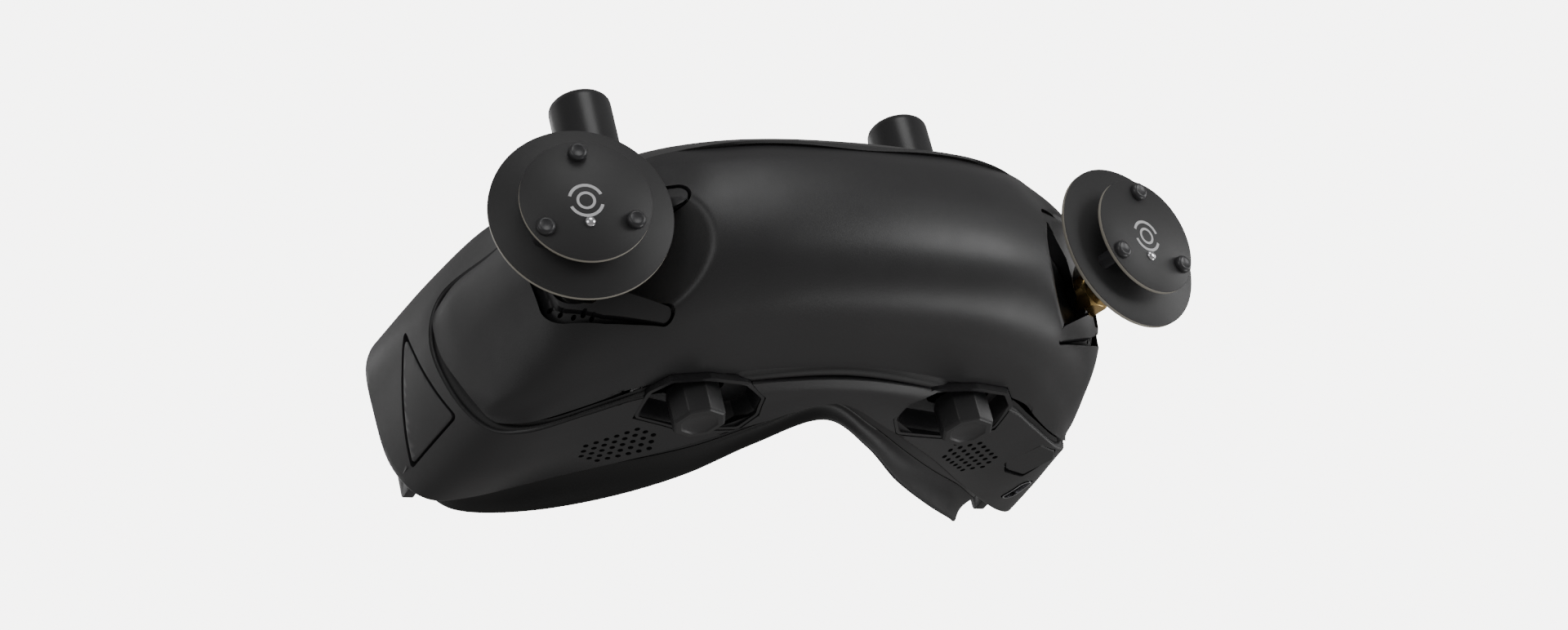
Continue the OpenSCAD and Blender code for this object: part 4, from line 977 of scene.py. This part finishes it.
DOOR_LOW, DOOR_T = -24.9, 1.4
HINGE_IN = 0.8
hinge_a, hinge_b = np.array(DOOR[5], float), np.array(DOOR[4], float)
hinge_turn = math.atan2(*(hinge_b - hinge_a)[::-1])
hinge_len = float(np.linalg.norm(hinge_b - hinge_a))
HINGE = (Matrix.Translation((*hinge_a, DOOR_LOW + DOOR_T / 2)) @ Matrix.Rotation(hinge_turn, 4, "Z")
         @ Matrix.Translation((0, -HINGE_IN, 0)))


def make_door():
    outline = rounded(DOOR, 0.7, 5)
    door = lofted_prism("plate", [(grown(outline, -0.25), DOOR_LOW), (outline, DOOR_LOW + 0.25),
                                  (outline, DOOR_LOW + DOOR_T)])
    cut(door, prism("keep", rectangle(-20, -20, 30, 0), -5, 5, HINGE), "INTERSECT")
    along = HINGE @ Matrix.Rotation(math.pi / 2, 4, "Y")
    cut(door, rod("knuckle", DOOR_T / 2, 0.3, hinge_len - 0.3, 32, along), "UNION")
    cut(door, rod("bore", 0.4, -2, hinge_len + 2, 24, along))
    middle = hinge_len / 2
    cut(door, prism("nick", rectangle(middle - 1.6, -12.6, middle + 1.6, -11.6), -1.2, -0.25, HINGE))
    dress(finished(door, "card_door_leaf"), "shell_plastic", "door", "card_door", angle=30)


def make_usb():
    outside = ((9.2, 3.5, -24.9), (9.3, 3.6, -24.6), (8.9, 3.2, -24.3), (8.9, 3.2, -16.4))
    inside = ((8.7, 3.0, -26), (8.3, 2.6, -24.5), (8.3, 2.6, -17.4))
    sleeve, hollow = (lofted_prism("sleeve", [(usb_oval(length, width), z) for length, width, z in layers])
                      for layers in (outside, inside))
    cut(sleeve, hollow)
    cut(sleeve, closed_housing(-0.2), "INTERSECT")
    flange = prism("flange", usb_oval(13.0, 7.0), -20.8, -19.8)
    cut(flange, prism("hollow", usb_oval(8.9, 3.2), -22, -18))
    tongue = prism("tongue", rectangle(-3, -0.35, 3, 0.35) @ USB_SPIN + USB, -22.6, -17.0)
    dress(join("charge_port", [sleeve, flange, tongue]), "rod_steel", "root", "usb_port")


def make_side_jacks():
    for name, (y, z), r, bore, depth in SOCKETS:
        at = Matrix.Translation((SOCKET_FACE, y, z)) @ Matrix.Rotation(math.pi / 2, 4, "Y")
        profile = [(0, -12.4), (r, -12.4), (r, -0.3), (r - 0.25, 0.0), (bore + 0.3, 0.0), (bore, -0.3),
                   (bore, -depth), (0, -depth)]
        dress(turned(f"{name}_socket", profile, 48, at), "inner_black", "root", f"{name}_jack")
        ring = [(bore - 0.02, -0.35), (bore + 0.28, -0.02), (bore + 0.28, -0.6), (bore - 0.02, -0.9)]
        dress(turned(f"{name}_socket_ring", ring, 48, at), "inner_black", "root", material="rod_steel")
        if name == "power":
            pin = [(0, -depth), (1, -depth), (1, -2.6), (0.8, -2.4), (0, -2.4)]
            dress(turned("power_socket_pin", pin, 32, at), "inner_black", "root", material="rod_steel")


def make_strap_anchor(s, side):
    place = side_frame(71)
    plate = prism("plate", rounded(rectangle(80, -13.5, 93, 15), 1.5), 0, 2.4, place)
    cut(plate, prism("slot", rounded(rectangle(86.2, -11, 90.8, 12.5), 1.0), -2, 5, place))
    for z in (-12.5, 12):
        cut(plate, prism("foot", rounded(rectangle(81, z, 84, z + 2.4), 0.3, 3), 2.0, 5.2, place), "UNION")
    bevelled(finished(plate, f"strap_loop_{s}", side), 0.35, 3)
    dress(plate, "trim_black", "root", f"strap_anchor_{s}", angle=40)


# the leads' routes, as in the CAD source
LEAD_R = 0.7
PATCH_LEAD = [(59.1, 26.8, -2.1), (58.6, 28.8, -1.6), (57.4, 30, 1), (56.8, 30, 6), (56.4, 29.6, 12),
              (55, 28.6, 18), (52.2, 26.6, 22.2), (49.6, 24.4, 22.9), (47.2, 21.5, 21.3), (44.8, 16.5, 18.4),
              (41, 11, 15.8), (38, 8.4, 12), (36.8, 8, 7), (36, 8, 3), (34.5, 8.2, 0.4), (34, 6.6, 0)]
STUB_LEAD = [(40, 36.9, 22.8), (41.5, 36.6, 22.6), (44, 36, 22.8), (46.2, 34, 23), (46.6, 30, 23),
             (45.6, 26, 22.4), (43.4, 21.5, 20.6), (41, 16, 18.2), (38, 11.5, 16), (35.4, 9, 13),
             (34, 8.4, 10.2), (34, 6.6, 9)]


def make_leads():
    leads = [lead for route in (PATCH_LEAD, STUB_LEAD) for lead in in_both(tube("lead", route, LEAD_R))]
    dress(join("antenna_leads", leads), "lead_jacket", "root", "coax_leads", angle=60)


MESH_Z, MESH_LONG, MESH_SHORT, MESH_CUT, MESH_WIRES = -22.2, 9.6, 5.2, 2.4, 23
WIRE_R, WIRE_T = 0.09, 0.2


def make_mesh():
    """Crossed wires behind the grille, in a long field with its corners cut."""
    place = Matrix.Translation((*GRILLE, MESH_Z)) @ Matrix.Rotation(GRILLE_TURN, 4, "Z")
    wires = []
    for at in np.linspace(-9, 9, MESH_WIRES):
        low, high = at - WIRE_R, at + WIRE_R
        half = min(MESH_SHORT, MESH_SHORT * (MESH_LONG - abs(at)) / MESH_CUT)
        wires.append(prism("wire", rectangle(low, -half, high, half), 0, WIRE_T, place))
        if abs(at) <= MESH_SHORT:
            wide = MESH_LONG - MESH_CUT * abs(at) / MESH_SHORT
            wires.append(prism("wire", rectangle(-wide, low, wide, high), -WIRE_T, 0, place))
    dress(join("grille_mesh", in_both(join("mesh", wires))), "trim_black", "root", "vent_mesh", angle=30)


# ---------------------------------------------------------------- build
make_front_cover()
make_housing()
make_gasket()
for s, side in SIDES:
    make_side_panel(s, side)
    make_bay(s, side)
    make_tray(s, side)
    make_knob(s, side)
    make_patch(s, side)
    make_nut(s, side)
    make_jacks(s, side)
    make_stub(s, side)
    make_eyepiece(s, side)
    make_strap_anchor(s, side)
make_face_pad()
make_inner_panel()
make_button("record_cap", RECORD, "record_button", "record_key", "record_red")
make_button("back_cap", BACK, "back_button", "back_key", "trim_black")
make_nav_cap()
make_door()
make_usb()
make_side_jacks()
make_leads()
make_mesh()

for entry in frame["record"]["subparts"]:
    node = frame["nodes"][entry["node"]]
    node.data.materials.clear()
    node.data.materials.append(MATERIALS[entry["material_slot"]])
    if not node.hide_render:
        smooth(node, 35)


# ---------------------------------------------------------------- stage, light and camera
SEEN_WORLD, WORLD_LIGHT, FLOOR_SEEN = 6.2, 0.28, 1.6
FLOOR_SIZE, FLOOR_Z = 30, -1.3
LIGHT_SIZE = 0.5


def stage_material():
    mat = bpy.data.materials.new("pale_stage")
    mat.use_nodes = True
    shader = mat.node_tree.nodes["Principled BSDF"]
    socket(shader, "Base Color", (0.86, 0.85, 0.84, 1))
    socket(shader, "Roughness", 0.9)
    socket(shader, "Emission Color", (1.0, 0.99, 0.975, 1))
    nodes, links = mat.node_tree.nodes, mat.node_tree.links
    path, glow = nodes.new("ShaderNodeLightPath"), nodes.new("ShaderNodeMath")
    glow.operation = "MULTIPLY"
    glow.inputs[1].default_value = FLOOR_SEEN
    links.new(path.outputs["Is Camera Ray"], glow.inputs[0])
    links.new(glow.outputs["Value"], shader.inputs["Emission Strength"])
    return mat


def make_stage():
    bpy.ops.mesh.primitive_plane_add(size=FLOOR_SIZE, location=(0, 0, FLOOR_Z))
    floor = bpy.context.object
    floor.name = "floor"
    floor.data.materials.append(stage_material())
    world = bpy.data.worlds.new("studio")
    bpy.context.scene.world = world
    world.use_nodes = True
    nodes, links = world.node_tree.nodes, world.node_tree.links
    seen, lit = nodes["Background"], nodes.new("ShaderNodeBackground")
    socket(seen, "Color", (1.0, 0.99, 0.975, 1))
    socket(seen, "Strength", SEEN_WORLD)
    socket(lit, "Color", (1.0, 0.99, 0.985, 1))
    socket(lit, "Strength", WORLD_LIGHT)
    path, mix = nodes.new("ShaderNodeLightPath"), nodes.new("ShaderNodeMixShader")
    links.new(path.outputs["Is Camera Ray"], mix.inputs["Fac"])
    links.new(lit.outputs["Background"], mix.inputs[1])
    links.new(seen.outputs["Background"], mix.inputs[2])
    links.new(mix.outputs["Shader"], nodes["World Output"].inputs["Surface"])


def area_light(name, location, target, power):
    light = bpy.data.lights.new(name, "AREA")
    light.size = LIGHT_SIZE
    light.energy = power
    obj = bpy.data.objects.new(name, light)
    bpy.context.scene.collection.objects.link(obj)
    obj.location = location
    obj.rotation_euler = (target - location).to_track_quat("-Z", "Y").to_euler()


CAMERA_AT = (-352.2, -522.7, -368.5)
CAMERA_TURN, CAMERA_RISE, CAMERA_ROLL = 32.055, 29.322, 14.282
FOCAL, SENSOR = 80.03, 36.0


def make_camera():
    data = bpy.data.cameras.new("camera")
    data.lens, data.sensor_width = FOCAL, SENSOR
    data.clip_start, data.clip_end = 0.01, 50
    cam = bpy.data.objects.new("camera", data)
    bpy.context.scene.collection.objects.link(cam)
    turn, rise, roll = (math.radians(a) for a in (CAMERA_TURN, CAMERA_RISE, CAMERA_ROLL))
    ahead = Vector((math.sin(turn) * math.cos(rise), math.cos(turn) * math.cos(rise), math.sin(rise)))
    right = ahead.cross(Vector((0, 0, 1))).normalized()
    up = right.cross(ahead)
    tilted_up = up * math.cos(roll) + right * math.sin(roll)
    tilted_right = ahead.cross(tilted_up)
    spin = Matrix((tilted_right, tilted_up, -ahead)).transposed()
    cam.matrix_world = Matrix.Translation(Vector(placed(CAMERA_AT)[0])) @ spin.to_4x4()
    bpy.context.scene.camera = cam


make_stage()
make_camera()
centre = Vector((0, 0, 0.035))
for name, offset, power in (
        ("right_front", (0.7, -0.8, 0.1), 4.15),
        ("right_side", (1.0, -0.1, 0.1), 1.85),
        ("front_top", (0.0, -0.8, 0.7), 2.5),
        ("left_front", (-0.8, -0.6, 0.1), 1.6),
        ("left_rear", (-0.95, 0.4, 0.15), 0.5),
        ("top_rear", (-0.5, 0.5, 0.8), 0.4),
        ("back_top", (-0.2, 1.0, 0.5), 1.4),
        ("low_right", (0.7, 0.0, -0.7), 2.7)):
    area_light(name, centre + Vector(offset), centre, power)
